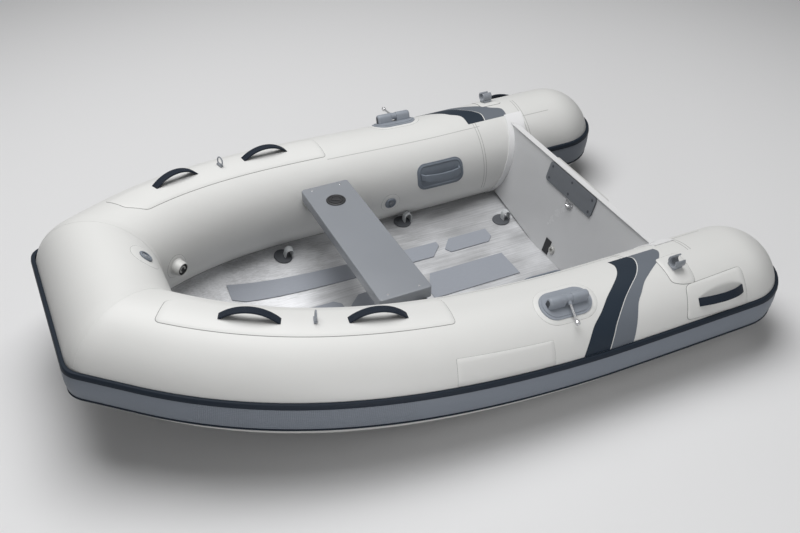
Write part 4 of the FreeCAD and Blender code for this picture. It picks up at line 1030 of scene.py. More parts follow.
@dataclass
class Chambers:
    """The three air chambers with rounded bow corners, and the tapes and seams of their cloth."""

    line: TubeLine = LINE
    dome_rings: int = 16
    dome_tip: float = 0.2
    bend_steps: int = 5
    bow_middle: float = 45.0
    tape_half: float = 13.0
    tape_thick: float = 0.5
    seam_width: float = 2.6
    seam_thick: float = 0.4
    lap_angle: float = 119.0
    laps: tuple[tuple[str, Spot], ...] = (("lap", (628, 1404)), ("stern_lap", (262, 400)))
    girths: tuple[tuple[str, float, float, float], ...] = (
        ("fore_girth", 640, 96, 205), ("inner_girth", 652, 96, 205),
        ("aft_girth", 404, 88, 168), ("stern_girth", 392, 88, 168),
    )

    def build(self) -> None:
        """Makes the tubes, the tapes and the seams."""
        radius = self.line.radius
        outline = whole_ring(radius)
        run = [self.line.section(s) for s in self.line.stations(radius, self.line.straight)]
        for side, name in SIDE_NAMES.items():
            rings = self._dome(outline) + [ring(section, outline) for section in run]
            rings += self._bend(outline, -1)
            tube = skinned(f"{name}_tube", rings, Look.TUBE, side, crisp=60)
            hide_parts(f"{name}_chamber")
        bend = self._bend(outline, 1)
        places = (self.bow_middle, 0.0, -self.bow_middle)
        across = [[Vector((p.x, y, p.z)) for p in bend[-1]] for y in places]
        bow = skinned("bow_tube", bend + across + mirrored(bend), Look.TUBE, crisp=60)
        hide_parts("bow_chamber")
        for side, name in SIDE_NAMES.items():
            self._bow_tape(name, side)
            self._seams(name, side)

    def _dome(self, outline: Outline) -> list[Ring]:
        """Rings of the round stern end, from its tip forward.

        Args:
            outline: the tube's outline.

        Returns:
            The rings.
        """
        line, rings = self.line, []
        stern = line.section(line.radius)
        for i in range(self.dome_rings):
            turn = math.radians(90 * (i + self.dome_tip) / self.dome_rings)
            middle = stern.middle - stern.forward * (line.radius * math.cos(turn))
            small = Section(middle, stern.forward, stern.outboard, stern.up)
            rings.append([small.at(angle, radius * math.sin(turn)) for angle, radius in outline])
        return rings

    def _bend(self, outline: Outline, way: int) -> list[Ring]:
        """Rings of one half of the rounded bow corner.

        Args:
            outline: the tube's outline.
            way: -1 for the side tube's half up to the mitre, 1 for the bow tube's half from it.

        Returns:
            The rings in the order of the run.
        """
        line, start = self.line, min(way, 0)
        return [
            [
                line.corner(angle, radius, (start + share) * line.corner_reach(angle))
                for angle, radius in outline
            ]
            for share in shares(self.bend_steps)
        ]

    def _bow_tape(self, name: str, side: int) -> None:
        """Tape over the bow corner's seam.

        Args:
            name: the side's name.
            side: PORT or STARBOARD.
        """
        line, half = self.line, self.tape_half
        places = [(x * half, self.tape_thick) for x in (-1, -0.35, 0.35, 1)]
        places += [(half, -1.0), (-half, -1.0)]
        rings = [
            [line.corner(angle, radius + lift, along) for along, lift in places]
            for angle, radius in whole_ring(line.radius)
        ]
        hooped(f"{name}_bow_tape", rings, Look.TAPE, side, 50)

    def _seams(self, name: str, side: int) -> None:
        """Fine glued seams: along the top of the tube, and round it beside the transom.

        Args:
            name: the side's name.
            side: PORT or STARBOARD.
        """
        width = self.seam_width
        low = arc_of(self.lap_angle)
        places = [(label, run, (low, low + width)) for label, run in self.laps]
        places += [
            (label, (start, start + width), (arc_of(foot), arc_of(top)))
            for label, start, foot, top in self.girths
        ]
        for label, (start, end), (foot, top) in places:
            outline = [(start, foot), (end, foot), (end, top), (start, top)]
            sheet_on(f"{name}_{label}_seam", outline, Look.SEAM, side, self.seam_thick)


# Rubbing strakes

@dataclass
class Strakes:
    """Grey rubbing strake with a navy bead over it and a thin one under it, all round the boat."""

    line: TubeLine = LINE
    top: float = 13.1
    low: float = -20.0
    bead: float = 5.8
    lower_bead: float = 2.1
    thick: float = 9.0
    bead_thick: float = 13.0
    inboard_end: float = 354.0
    dome_turn: float = 7.5
    bend: float = 42.0
    bend_steps: int = 4
    middle_shares: tuple[float, ...] = (0.4, 0.0, -0.4)

    def side_run(self) -> list[Section]:
        """Sections from the bow aft, round the dome and forward to the transom.

        Returns:
            The sections.
        """
        line = self.line
        outboard = [line.section(s) for s in line.stations(line.straight, line.radius)]
        stern = line.section(line.radius)
        dome = [stern.turned(self.dome_turn * i) for i in range(1, round(180 / self.dome_turn))]
        stations = line.stations(line.radius, self.inboard_end)
        inboard = [line.section(s).turned(180) for s in stations]
        return [*outboard, *dome, *inboard]

    def profiles(self) -> dict[str, list[Spot]]:
        """Outlines of the strake and its beads.

        Returns:
            Angle and radius pairs round each strip.
        """
        skin, lower, upper = self.line.radius, self.low + self.lower_bead, self.top - self.bead
        crown, bead = skin + self.thick, skin + self.bead_thick
        return {
            "strake": strip_profile(lower, upper, skin, crown, 1.2),
            "upper": strip_profile(upper, self.top, skin, bead, 4.5),
            "lower": strip_profile(self.low, lower, skin, bead, 3.0),
        }

    def _corner(self, profile: Outline, way: int) -> list[Ring]:
        """Rings of half the corner, from the mitre outwards along one tube.

        Args:
            profile: the strip's outline.
            way: -1 for the side tube and 1 for the bow tube.

        Returns:
            The rings.
        """
        line, bend = self.line, self.bend
        return [
            [line.corner(angle, radius, way * share * bend, bend) for angle, radius in profile]
            for share in shares(self.bend_steps)
        ]

    def build(self) -> None:
        """Makes the strakes and beads."""
        run = self.side_run()
        looks = {"strake": Look.STRAKE, "upper": Look.BEAD, "lower": Look.BEAD}
        for part, profile in self.profiles().items():
            node = "strake" if part == "strake" else "beads"
            label = "rubbing_strake" if part == "strake" else f"{part}_bead"
            rings = self._corner(profile, -1) + [ring(section, profile) for section in run]
            for side, name in SIDE_NAMES.items():
                piece = skinned(f"{name}_{label}", rings, looks[part], side)
                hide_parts(f"{name}_{node}")
            bend = self._corner(profile, 1)
            across = [
                [Vector((p.x, p.y * share, p.z)) for p in bend[-1]] for share in self.middle_shares
            ]
            piece = skinned(f"bow_{label}", bend + across + mirrored(bend), looks[part])
            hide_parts(f"bow_{node}")


# Patches and stripes that follow the tube

def smooth_outline(corners: Outline, rounding: float, steps: int = 5) -> list[Spot]:
    """An outline in a plane with its corners rounded.

    Args:
        corners: the corners, in order.
        rounding: how far from a corner its rounding starts.
        steps: points on each rounding.

    Returns:
        Points of the rounded outline.
    """
    outline: list[Spot] = []
    count = len(corners)
    for i in range(count):
        before, here, after = (Vector(corners[(i + k) % count]) for k in (-1, 0, 1))
        reach_in = min(rounding, (before - here).length * 0.45)
        reach_out = min(rounding, (after - here).length * 0.45)
        start = here + (before - here).normalized() * reach_in
        end = here + (after - here).normalized() * reach_out
        for k in range(steps + 1):
            t = k / steps
            point = start * (1 - t) ** 2 + here * (2 * t * (1 - t)) + end * t ** 2
            outline.append((point.x, point.y))
    return outline


def rounded_box(low: Spot, high: Spot, rounding: float, steps: int = 3) -> list[Spot]:
    """A rectangle between two corners, with its corners rounded."""
    corners = [low, (high[0], low[1]), high, (low[0], high[1])]
    return smooth_outline(corners, rounding, steps)


def stadium(centre: Spot, half_length: float, half_width: float, corner: float) -> list[Spot]:
    """A rectangle with round corners.

    Args:
        centre: its middle.
        half_length: half its first side.
        half_width: half its second side.
        corner: radius of its corners.

    Returns:
        Its outline, anticlockwise.
    """
    outline = []
    for quarter, (way_x, way_y) in enumerate(((1, 1), (-1, 1), (-1, -1), (1, -1))):
        for k in range(9):
            turn = math.pi / 2 * (quarter + k / 8)
            outline.append((
                centre[0] + way_x * (half_length - corner) + corner * math.cos(turn),
                centre[1] + way_y * (half_width - corner) + corner * math.sin(turn),
            ))
    return outline


def side_skin(along: float, round_it: float, lift: float) -> Vector:
    """A point over the port tube, by station, arc length from outboard and height."""
    return LINE.section(along).at(math.degrees(round_it / LINE.radius), LINE.radius + lift)


def bow_skin(along: float, round_it: float, lift: float) -> Vector:
    """A point over the bow tube, by distance to starboard, arc length from the front and height.

    Args:
        along: distance to starboard.
        round_it: arc length from the front.
        lift: height above the skin.

    Returns:
        The point.
    """
    middle = LINE.bow_middle
    turn, radius = round_it / LINE.radius, LINE.radius + lift
    return Vector((middle.x + radius * math.cos(turn), -along, middle.z + radius * math.sin(turn)))


def sheet_on(
    name: str, outline: Outline, look: Look, side: int, thick: float, base: float = 0.0,
    step: float = 18.0, flare: float = 0.0, rim: Look | None = None, skin: Skin = side_skin,
) -> bpy.types.Object:
    """A sheet glued to a tube.

    Args:
        name: name of the piece.
        outline: anticlockwise, as distances along the tube and round it, in millimetres.
        look: its finish.
        side: PORT or STARBOARD.
        thick: its thickness.
        base: height of its foot above the skin.
        step: spacing of its inner lines along and round the tube.
        flare: how much wider its foot is on every side.
        rim: finish of its edge, where that is another.
        skin: the tube it lies on.

    Returns:
        The new piece.
    """
    flat = bmesh.new()
    flat.faces.new([flat.verts.new((s, a, 0)) for s, a in outline])
    for axis in (0, 1):
        places = [spot[axis] for spot in outline]
        low, high = min(places), max(places)
        count = max(1, int((high - low) / step))
        normal = Vector((1 - axis, axis, 0))
        for i in range(1, count):
            spot = normal * (low + (high - low) * i / count)
            bmesh.ops.bisect_plane(
                flat, geom=flat.verts[:] + flat.edges[:] + flat.faces[:], plane_co=spot,
                plane_no=normal, dist=1e-5,
            )
    flat.normal_update()
    if flat.faces[:][0].normal.z < 0:
        bmesh.ops.reverse_faces(flat, faces=flat.faces[:])
    flat.verts.index_update()
    spots = [v.co.xy for v in flat.verts]
    tops = [tuple(v.index for v in face.verts) for face in flat.faces]
    edges = [
        (loop.vert.index, loop.link_loop_next.vert.index)
        for face in flat.faces for loop in face.loops if loop.edge.is_boundary
    ]
    flat.free()
    outward = [Vector((0.0, 0.0)) for _ in spots]
    for a, b in edges:
        run = (spots[b] - spots[a]).normalized()
        for end in (a, b):
            outward[end] += Vector((run.y, -run.x))
    points = [skin(spot.x, spot.y, base + thick) for spot in spots]
    for spot, out in zip(spots, outward):
        foot = spot + (out.normalized() * flare if out.length else out)
        points.append(skin(foot.x, foot.y, base))
    count = len(spots)
    faces = tops + [tuple(i + count for i in reversed(face)) for face in tops]
    faces += [(b, a, a + count, b + count) for a, b in edges]
    runs = [Vector((spot.x * MM, spot.y * MM, 0)) for spot in spots] * 2
    return add_piece(name, points, faces, look, side, runs=runs, rim=rim, rim_faces=len(edges))


def arc_of(angle: float) -> float:
    """Arc length from outboard of an angle round the tube, in millimetres."""
    return math.radians(angle) * LINE.radius


@dataclass
class Patches:
    """Glued patches: under handles, clips and rowlocks, round valves, and bare side plates."""

    wear_thick: float = 1.2
    patch_thick: float = 1.5
    plate_thick: float = 0.6
    rowlock_thick: float = 0.4
    round_thick: float = 0.25
    glue_shade_edge: float = 2.0
    fine_edge: float = 0.8
    round_edge: float = 1.0
    rowlock_edge: float = 0.6
    wear_run: Spot = (1405, 2300)
    wear_angles: Spot = (73, 115)
    wear_cut: Spot = (50, 58)
    wear_round: float = 14
    stern: Outline = ((255, 12), (530, 17), (505, 51), (255, 53))
    stern_round: float = 20
    clip: Outline = ((456, 58), (463, 51), (512, 53), (552, 58), (557, 88), (456, 89))
    clip_round: float = 14
    plate: Outline = ((1080, 13.6), (1434, 13.6), (1434, 40), (1080, 38))
    plate_round: float = 5
    rowlock: Spot = (985, 70)
    rowlock_half: Spot = (124, 74)
    valve: Spot = (1132, 190)
    valve_radius: float = 46
    bow_valve: Spot = (31, 137)
    bow_valve_radius: float = 60
    fitting_from_bow: float = 161
    fitting_angle: float = 184
    fitting_radius: float = 47

    def _patch(
        self, name: str, outline: Outline, side: int, thick: float, edge: float,
        node: str = "", skin: Skin = side_skin,
    ) -> None:
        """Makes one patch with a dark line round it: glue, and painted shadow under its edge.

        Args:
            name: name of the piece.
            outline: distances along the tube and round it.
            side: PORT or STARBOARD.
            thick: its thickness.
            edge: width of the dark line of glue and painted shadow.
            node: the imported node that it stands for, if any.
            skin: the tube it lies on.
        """
        patch = sheet_on(
            name, outline, Look.PATCH, side, thick, flare=edge, rim=Look.GLUE_AND_SHADE, skin=skin,
        )
        if node:
            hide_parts(node)

    def _drawn(self, corners: Outline, rounding: float) -> list[Spot]:
        """A rounded outline from stations and angles."""
        return smooth_outline([(station, arc_of(angle)) for station, angle in corners], rounding)

    def _round(self, place: Spot, radius: float) -> list[Spot]:
        """A round outline at a station and angle."""
        return stadium((place[0], arc_of(place[1])), radius, radius, radius)

    def build(self) -> None:
        """Makes every patch on both sides."""
        (start, end), (low, high) = self.wear_run, (arc_of(angle) for angle in self.wear_angles)
        cut = [(end, high - self.wear_cut[1]), (end - self.wear_cut[0], high)]
        corners = [(start, low), (end, low), *cut, (start, high)]
        wear = smooth_outline(corners, self.wear_round)
        stern = self._drawn(self.stern, self.stern_round)
        clip = self._drawn(self.clip, self.clip_round)
        plate = self._drawn(self.plate, self.plate_round)
        half_length, half_width = self.rowlock_half
        centre = (self.rowlock[0], arc_of(self.rowlock[1]))
        rowlock = stadium(centre, half_length, half_width, half_width)
        valve = self._round(self.valve, self.valve_radius)
        glue_shade, fine = self.glue_shade_edge, self.fine_edge
        for side, name in SIDE_NAMES.items():
            sheets = (
                ("wear_cloth", wear, self.wear_thick, glue_shade, f"{name}_wear_patch"),
                ("stern_cloth", stern, self.patch_thick, glue_shade, "stern_patches"),
                ("clip_cloth", clip, self.patch_thick, glue_shade, "clip_patches"),
                ("side_plate", plate, self.plate_thick, fine, ""),
                ("rowlock_cloth", rowlock, self.rowlock_thick, self.rowlock_edge, ""),
                ("valve_cloth", valve, self.round_thick, fine, ""),
            )
            for label, outline, thick, edge, node in sheets:
                self._patch(f"{name}_{label}", outline, side, thick, edge, node)
        thick, edge = self.round_thick, self.round_edge
        bow = self._round(self.bow_valve, self.bow_valve_radius)
        self._patch("bow_valve_cloth", bow, PORT, thick, edge, skin=bow_skin)
        place = (LINE.bow - self.fitting_from_bow, self.fitting_angle)
        fitting = self._round(place, self.fitting_radius)
        self._patch("fitting_cloth", fitting, STARBOARD, thick, edge)


@dataclass
class Stripes:
    """Navy and grey bands that sweep down each side of the tubes."""

    thick: float = 0.5
    base: float = 0.1
    step: float = 12.0
    gap: float = 4.5
    foot: float = 13.3
    ends: tuple[tuple[int, float, float], ...] = ((PORT, 107.3, 0.0), (STARBOARD, 113.0, 38.0))

    def _curve(self, knots: Outline, shift: float = 0.0, steps: int = 8) -> list[Spot]:
        """A smooth line through stations and angles.

        Args:
            knots: the stations and angles.
            shift: how far aft of them it runs.
            steps: points from one to the next.

        Returns:
            Its stations and arc lengths.
        """
        points = [Vector((s - shift, arc_of(a))) for s, a in knots]
        padded = [points[0] * 2 - points[1], *points, points[-1] * 2 - points[-2]]
        line: list[Spot] = []
        for i in range(1, len(padded) - 2):
            a, b, c, d = padded[i - 1:i + 3]
            for k in range(steps):
                t = k / steps
                bend, twist = a * 2 - b * 5 + c * 4 - d, b * 3 - a - c * 3 + d
                point = 0.5 * (b * 2 + (c - a) * t + bend * t ** 2 + twist * t ** 3)
                line.append((point.x, point.y))
        line.append((points[-1].x, points[-1].y))
        return line

    def build(self) -> None:
        """Makes both stripes on both sides."""
        for side, top, sweep in self.ends:
            self._pair(side, top, sweep)

    def _pair(self, side: int, top: float, sweep: float) -> None:
        """Makes the stripes of one side.

        Args:
            side: PORT or STARBOARD.
            top: angle of their inner ends.
            sweep: how far aft of the port ones their inner ends lie.
        """
        foot = self.foot
        fore = [
            (967, foot), (945, 26), (913, 40.2), (869, 51), (825, 62.3), (777, 73), (743, 81),
            (722, 88), (709 - 0.7 * sweep, 97), (712 - sweep, top),
        ]
        between = [
            (861, foot), (845, 24), (822, 36), (793, 46.5), (758, 57), (716, 66.8), (672, 76.2),
            (646, 84), (629 - 0.4 * sweep, 92), (620 - 0.8 * sweep, 101), (628 - sweep, top),
        ]
        aft = [
            (762, foot), (739, 31), (714, 48.2), (684, 58), (650, 67.9), (598, 77.5), (547, 86.2),
            (522, 93), (508 - 0.8 * sweep, 100), (511 - sweep, top),
        ]
        navy = self._curve(fore) + self._curve(between)[::-1]
        grey = self._curve(between, self.gap) + self._curve(aft)[::-1]
        bands = (("navy", navy, Look.NAVY_CLOTH), ("grey", grey, Look.GREY_CLOTH))
        for label, outline, look in bands:
            name = f"{SIDE_NAMES[side]}_{label}_stripe"
            sheet_on(name, outline, look, side, self.thick, self.base, self.step)


# Handles

@dataclass
class Handles:
    """Arched carrying handles on the tubes."""

    span: float = 202.0
    width: float = 32.0
    rise: float = 38.0
    thick: float = 7.0
    edge: float = 2.6
    steps: int = 28
    places: tuple[tuple[str, float, float, float], ...] = (
        ("fore", 2058.0, 91.5, 1.8), ("aft", 1655.0, 91.5, 1.8), ("stern", 370.0, 31.0, 2.1),
    )

    def _strap(self, place: Matrix) -> tuple[list[Ring], list[Vector]]:
        """Rings and runs of one arched strap.

        Args:
            place: where it stands on the tube, in millimetres.

        Returns:
            The rings, and a run for each of their points.
        """
        outer = (self.span ** 2 / 4 + self.rise ** 2) / (2 * self.rise)
        depth = outer - self.rise
        half_turn = math.acos(depth / outer)
        half, thick = self.width / 2, self.thick
        outline = rounded_box((-half, 0), (half, thick), self.edge)
        rings, runs = [], []
        for share in shares(self.steps):
            turn = half_turn * (2 * share - 1)
            points = []
            for across, up in outline:
                radius = outer - thick + up
                height = max(radius * math.cos(turn) - depth, 0.0)
                points.append(place @ Vector((radius * math.sin(turn), across, height)))
                runs.append(Vector((turn * outer * MM, across * MM, 0)))
            rings.append(points)
        return rings, runs

    def build(self) -> None:
        """Makes the six handles."""
        for side, name in SIDE_NAMES.items():
            for label, station, angle, lift in self.places:
                rings, runs = self._strap(LINE.seat(station, angle, lift, self.span / 2))
                strap = skinned(f"{name}_{label}_strap", rings, Look.HANDLE, side, runs=runs)
                stand_for("stern_handles" if label == "stern" else f"{name}_handles", strap)


# Mouldings

def turned(
    name: str, place: Matrix, outline: Outline, look: Look, side: int = PORT, segments: int = 56,
) -> bpy.types.Object:
    """A piece turned about Z at a place.

    Args:
        name: name of the piece.
        place: where its foot is.
        outline: radius and height pairs.
        look: its finish.
        side: PORT or STARBOARD.
        segments: facets round it.

    Returns:
        The new piece.
    """
    turns = [2 * math.pi * i / segments for i in range(segments)]
    rings = [
        [place @ Vector((radius * math.cos(t), radius * math.sin(t), height)) for t in turns]
        for radius, height in outline
    ]
    return skinned(name, rings, look, side, crisp=28)


def sized(profile: Outline, radius: float, height: float) -> list[Spot]:
    """Radius and height pairs from shares of a radius and a height."""
    return [(radius * out, height * up) for out, up in profile]


def headings(path: Sequence[Vector]) -> list[Vector]:
    """Directions of a path at its points.

    Args:
        path: its points.

    Returns:
        A direction for each point.
    """
    last = len(path) - 1
    return [
        (path[min(i + 1, last)] - path[max(i - 1, 0)]).normalized() for i in range(len(path))
    ]


def bar(
    name: str, place: Matrix, path: Sequence[Vector], width: float, thick: float, look: Look,
    side: int = PORT, flat_up: Vector = Vector((0, 0, 1)), rounding: float = 2.0,
) -> bpy.types.Object:
    """A bar or strap of rounded flat section along a path.

    Args:
        name: name of the piece.
        place: frame of the path.
        path: middle points of the bar.
        width: width across the path, along flat_up crossed with it.
        thick: thickness along flat_up.
        look: its finish.
        side: PORT or STARBOARD.
        flat_up: direction of the thickness.
        rounding: rounding of its edges.

    Returns:
        The new piece.
    """
    outline = rounded_box((-width / 2, -thick / 2), (width / 2, thick / 2), rounding)
    rings, runs, along = [], [], 0.0
    for i, (point, forward) in enumerate(zip(path, headings(path))):
        if i:
            along += (point - path[i - 1]).length
        across = flat_up.cross(forward).normalized()
        up = forward.cross(across)
        rings.append([place @ (point + across * u + up * v) for u, v in outline])
        runs += [Vector((along * MM, u * MM, 0)) for u, _ in outline]
    return skinned(name, rings, look, side, crisp=35, runs=runs)


@dataclass
class Rowlocks:
    """Moulded rowlock feet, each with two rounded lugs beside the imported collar."""

    station: float = 985.0
    angle: float = 70.0
    half_length: float = 103.0
    half_width: float = 55.0
    step: float = 9.0
    foot_thick: float = 4.2
    thick: float = 7.0
    base: float = 0.3
    flares: Spot = (1.6, 2.2)
    sunk: float = 0.7
    lug_length: float = 66.0
    lug_radius: float = 17.0
    lug_lift: float = 22.0
    lug_gap: float = 25.0
    inner_round: float = 2.5
    nose: float = 9.0
    nose_share: float = 0.8
    axle: float = 9.4

    def _inset(self, depth: float, rounding: float) -> float:
        """How far a rounded end draws in at a depth below its tip.

        Args:
            depth: distance below the tip.
            rounding: radius of the end.

        Returns:
            The inset.
        """
        if depth >= rounding:
            return 0.0
        return rounding * (1 - math.sqrt(1 - (1 - depth / rounding) ** 2))

    def _lug(self, name: str, place: Matrix, way: int, side: int) -> bpy.types.Object:
        """One lug with a rounded outer end, its end face painted near-black as the shade of a
        recess.

        Args:
            name: name of the piece.
            place: where it stands on the tube, in millimetres.
            way: 1 for the fore lug and -1 for the aft one.
            side: PORT or STARBOARD.

        Returns:
            The new piece.
        """
        length, lift = self.lug_length, self.lug_lift
        depths = [0.0, 0.8, 1.8, self.inner_round, length / 2]
        depths += [length - self.nose * share for share in (1.0, 0.7, 0.45, 0.25, 0.1, 0.0)]
        turns = [math.pi * k / 14 for k in range(15)]
        rings = []
        for depth in depths:
            outer = self._inset(length - depth, self.nose) * self.nose_share
            radius = self.lug_radius - max(self._inset(depth, self.inner_round), outer)
            crown = [(-radius * math.cos(t), lift + radius * math.sin(t)) for t in turns]
            low, high = -1.0, lift * 0.5
            section = [(-radius, low), (-radius, high), *crown, (radius, high), (radius, low)]
            x = way * (self.lug_gap / 2 + depth)
            rings.append([place @ Vector((x, y, z)) for y, z in section])
        # The end face is near-black: painted shade of a recess.
        return skinned(name, rings, Look.ROWLOCK, side, crisp=50, rim=Look.DARK_AND_SHADE, rim_faces=1)

    def build(self) -> None:
        """Makes both feet, their lugs and axles."""
        centre = (self.station, arc_of(self.angle))
        place = LINE.seat(self.station, self.angle, self.thick - self.sunk)
        length, width = self.half_length, self.half_width
        foot = stadium(centre, length, width, width)
        upper = stadium(centre, length - self.step, width - self.step, width - self.step)
        sheets = (
            ("foot", foot, self.foot_thick, self.flares[0]),
            ("step", upper, self.thick, self.flares[1]),
        )
        half = self.lug_gap / 2 + 1
        axle = [Vector((x, 0, self.lug_lift)) for x in (-half, 0, half)]
        for side, name in SIDE_NAMES.items():
            pieces = [
                sheet_on(
                    f"{name}_rowlock_{label}", outline, Look.ROWLOCK, side, thick, self.base,
                    flare=flare,
                )
                for label, outline, thick, flare in sheets
            ]
            stand_for(
                f"{name}_rowlock_base",
                *pieces,
                self._lug(f"{name}_fore_lug", place, 1, side),
                self._lug(f"{name}_aft_lug", place, -1, side),
                bar(
                    f"{name}_rowlock_axle", place, axle, self.axle, self.axle, Look.STEEL, side,
                    rounding=4.0,
                ),
            )


@dataclass
class OarClips:
    """Open spring rings for the oars, each on a short foot."""

    station: float = 505.0
    angle: float = 74.0
    lift: float = 2.1
    radius: float = 23.0
    wall: float = 5.0
    width: float = 44.0
    edge: float = 2.2
    mouth: float = 80.0
    steps: int = 40
    lip: float = 1.25
    lip_steps: int = 3
    foot: Triple = (40.0, 36.0, 9.0)
    ring_gap: float = 0.003

    def _ring(self, place: Matrix) -> tuple[list[Ring], list[Vector]]:
        """Rings and runs of one spring ring, thicker at its lips.

        Args:
            place: where it stands on the tube, in millimetres.

        Returns:
            The rings, and a run for each of their points.
        """
        middle = self.radius - self.wall / 2
        height = self.radius - self.wall + self.foot[2] - 1.0
        half_mouth = math.radians(self.mouth / 2)
        rings, runs = [], []
        for i in range(self.steps + 1):
            turn = half_mouth + (2 * math.pi - 2 * half_mouth) * i / self.steps
            point = Vector((0, -middle * math.sin(turn), height + middle * math.cos(turn)))
            out = Vector((0, -math.sin(turn), math.cos(turn)))
            lip = self.lip if min(i, self.steps - i) < self.lip_steps else 1.0
            half, deep = self.width / 2, self.wall / 2 * lip
            section = rounded_box((-half, -deep), (half, deep), self.edge)
            rings.append([place @ (point + Vector((u, 0, 0)) + out * v) for u, v in section])
            runs += [Vector((i * self.ring_gap, u * MM, 0)) for u, _ in section]
        return rings, runs

    def build(self) -> None:
        """Makes both clips."""
        length, width, top = self.foot
        place = LINE.seat(self.station, self.angle, self.lift, length / 2)
        rings, runs = self._ring(place)
        half = width / 2
        block = [Vector((0, y, top / 2)) for y in (-half, -half + 3, 0, half - 3, half)]
        for side, name in SIDE_NAMES.items():
            stand_for(
                "oar_clips",
                skinned(f"{name}_clip_ring", rings, Look.CLIP, side, crisp=35, runs=runs),
                bar(f"{name}_clip_foot", place, block, length, top, Look.CLIP, side),
            )


@dataclass
class GrabHandles:
    """Moulded grab handles inside the tubes: a raised-edge foot and a hollow-backed grip."""

    station: float = 880.0
    angle: float = 165.0
    half_length: float = 116.0
    half_width: float = 58.6
    corner: float = 39.0
    foot_thick: float = 3.4
    thick: float = 6.0
    base: float = 0.3
    flare: float = 1.4
    border: Spot = (5.0, 15.0)
    border_foot: float = 2.6
    border_edge: float = 5.2
    grip: float = 186.0
    grip_thick: float = 9.0
    grip_round: float = 4.0
    half_grip: float = 17.5
    half_ends: float = 15.0
    reach: float = 32.0
    sunk: float = 1.0
    lean: float = 3.0
    sag: float = 7.0
    steps: int = 32

    def _outline(self, inset: float) -> list[Spot]:
        """The foot's outline, drawn in by an inset.

        Args:
            inset: how far.

        Returns:
            Its points, by distance along the tube and round it.
        """
        centre = (self.station, arc_of(self.angle))
        length, width = self.half_length - inset, self.half_width - inset
        return stadium(centre, length, width, self.corner - inset)

    def _path(self) -> list[Vector]:
        """Middle line of the grip, which hangs a little and stands clear of the foot.

        Returns:
            Its points, from the place of the handle.
        """
        half, path = self.grip / 2, []
        for share in shares(self.steps):
            x = half * (2 * share - 1)
            out = abs(x) / half
            rise = self.reach * (1 - out ** 5) ** 0.5
            aside = -self.sag * (1 - out ** 2) + self.lean
            path.append(Vector((x, aside, max(rise, 0.0) - self.sunk)))
        return path

    def build(self) -> None:
        """Makes both handles."""
        place = LINE.seat(self.station, self.angle, self.thick - self.sunk)
        foot = self._outline(0.0)
        for side, name in SIDE_NAMES.items():
            stand_for(
                f"{name}_grab_handle",
                sheet_on(
                    f"{name}_grab_foot", foot, Look.MOULDING, side, self.foot_thick, self.base,
                    flare=self.flare,
                ),
                self._border(f"{name}_grab_border", side),
                self._grip(f"{name}_grab_grip", place, side),
            )

    def _border(self, name: str, side: int) -> bpy.types.Object:
        """A raised border round the foot.

        Args:
            name: name of the piece.
            side: PORT or STARBOARD.

        Returns:
            The new piece.
        """
        low, edge, top = self.border_foot, self.border_edge, self.thick
        profile = ((0.0, low), (0.12, edge), (0.4, top), (0.7, top), (1.0, low))
        outer, inner = (self._outline(inset) for inset in self.border)
        rings = [
            [side_skin(x + (u - x) * s, y + (v - y) * s, self.base + lift) for s, lift in profile]
            for (x, y), (u, v) in zip(outer, inner)
        ]
        return hooped(name, rings, Look.MOULDING, side, 40)

    def _grip(self, name: str, place: Matrix, side: int) -> bpy.types.Object:
        """The grip: widest in its middle, with a thick rounded section.

        Args:
            name: name of the piece.
            place: where it stands on the tube, in millimetres.
            side: PORT or STARBOARD.

        Returns:
            The new piece.
        """
        path, across, deep = self._path(), Vector((0, 1, 0)), self.grip_thick / 2
        rings = []
        for i, (point, forward) in enumerate(zip(path, headings(path))):
            up = forward.cross(across).normalized()
            half = self.half_grip if 2 < i < len(path) - 3 else self.half_ends
            section = rounded_box((-half, -deep), (half, deep), self.grip_round, 4)
            rings.append([place @ (point + across * u + up * v) for u, v in section])
        return skinned(name, rings, Look.MOULDING, side, crisp=40)


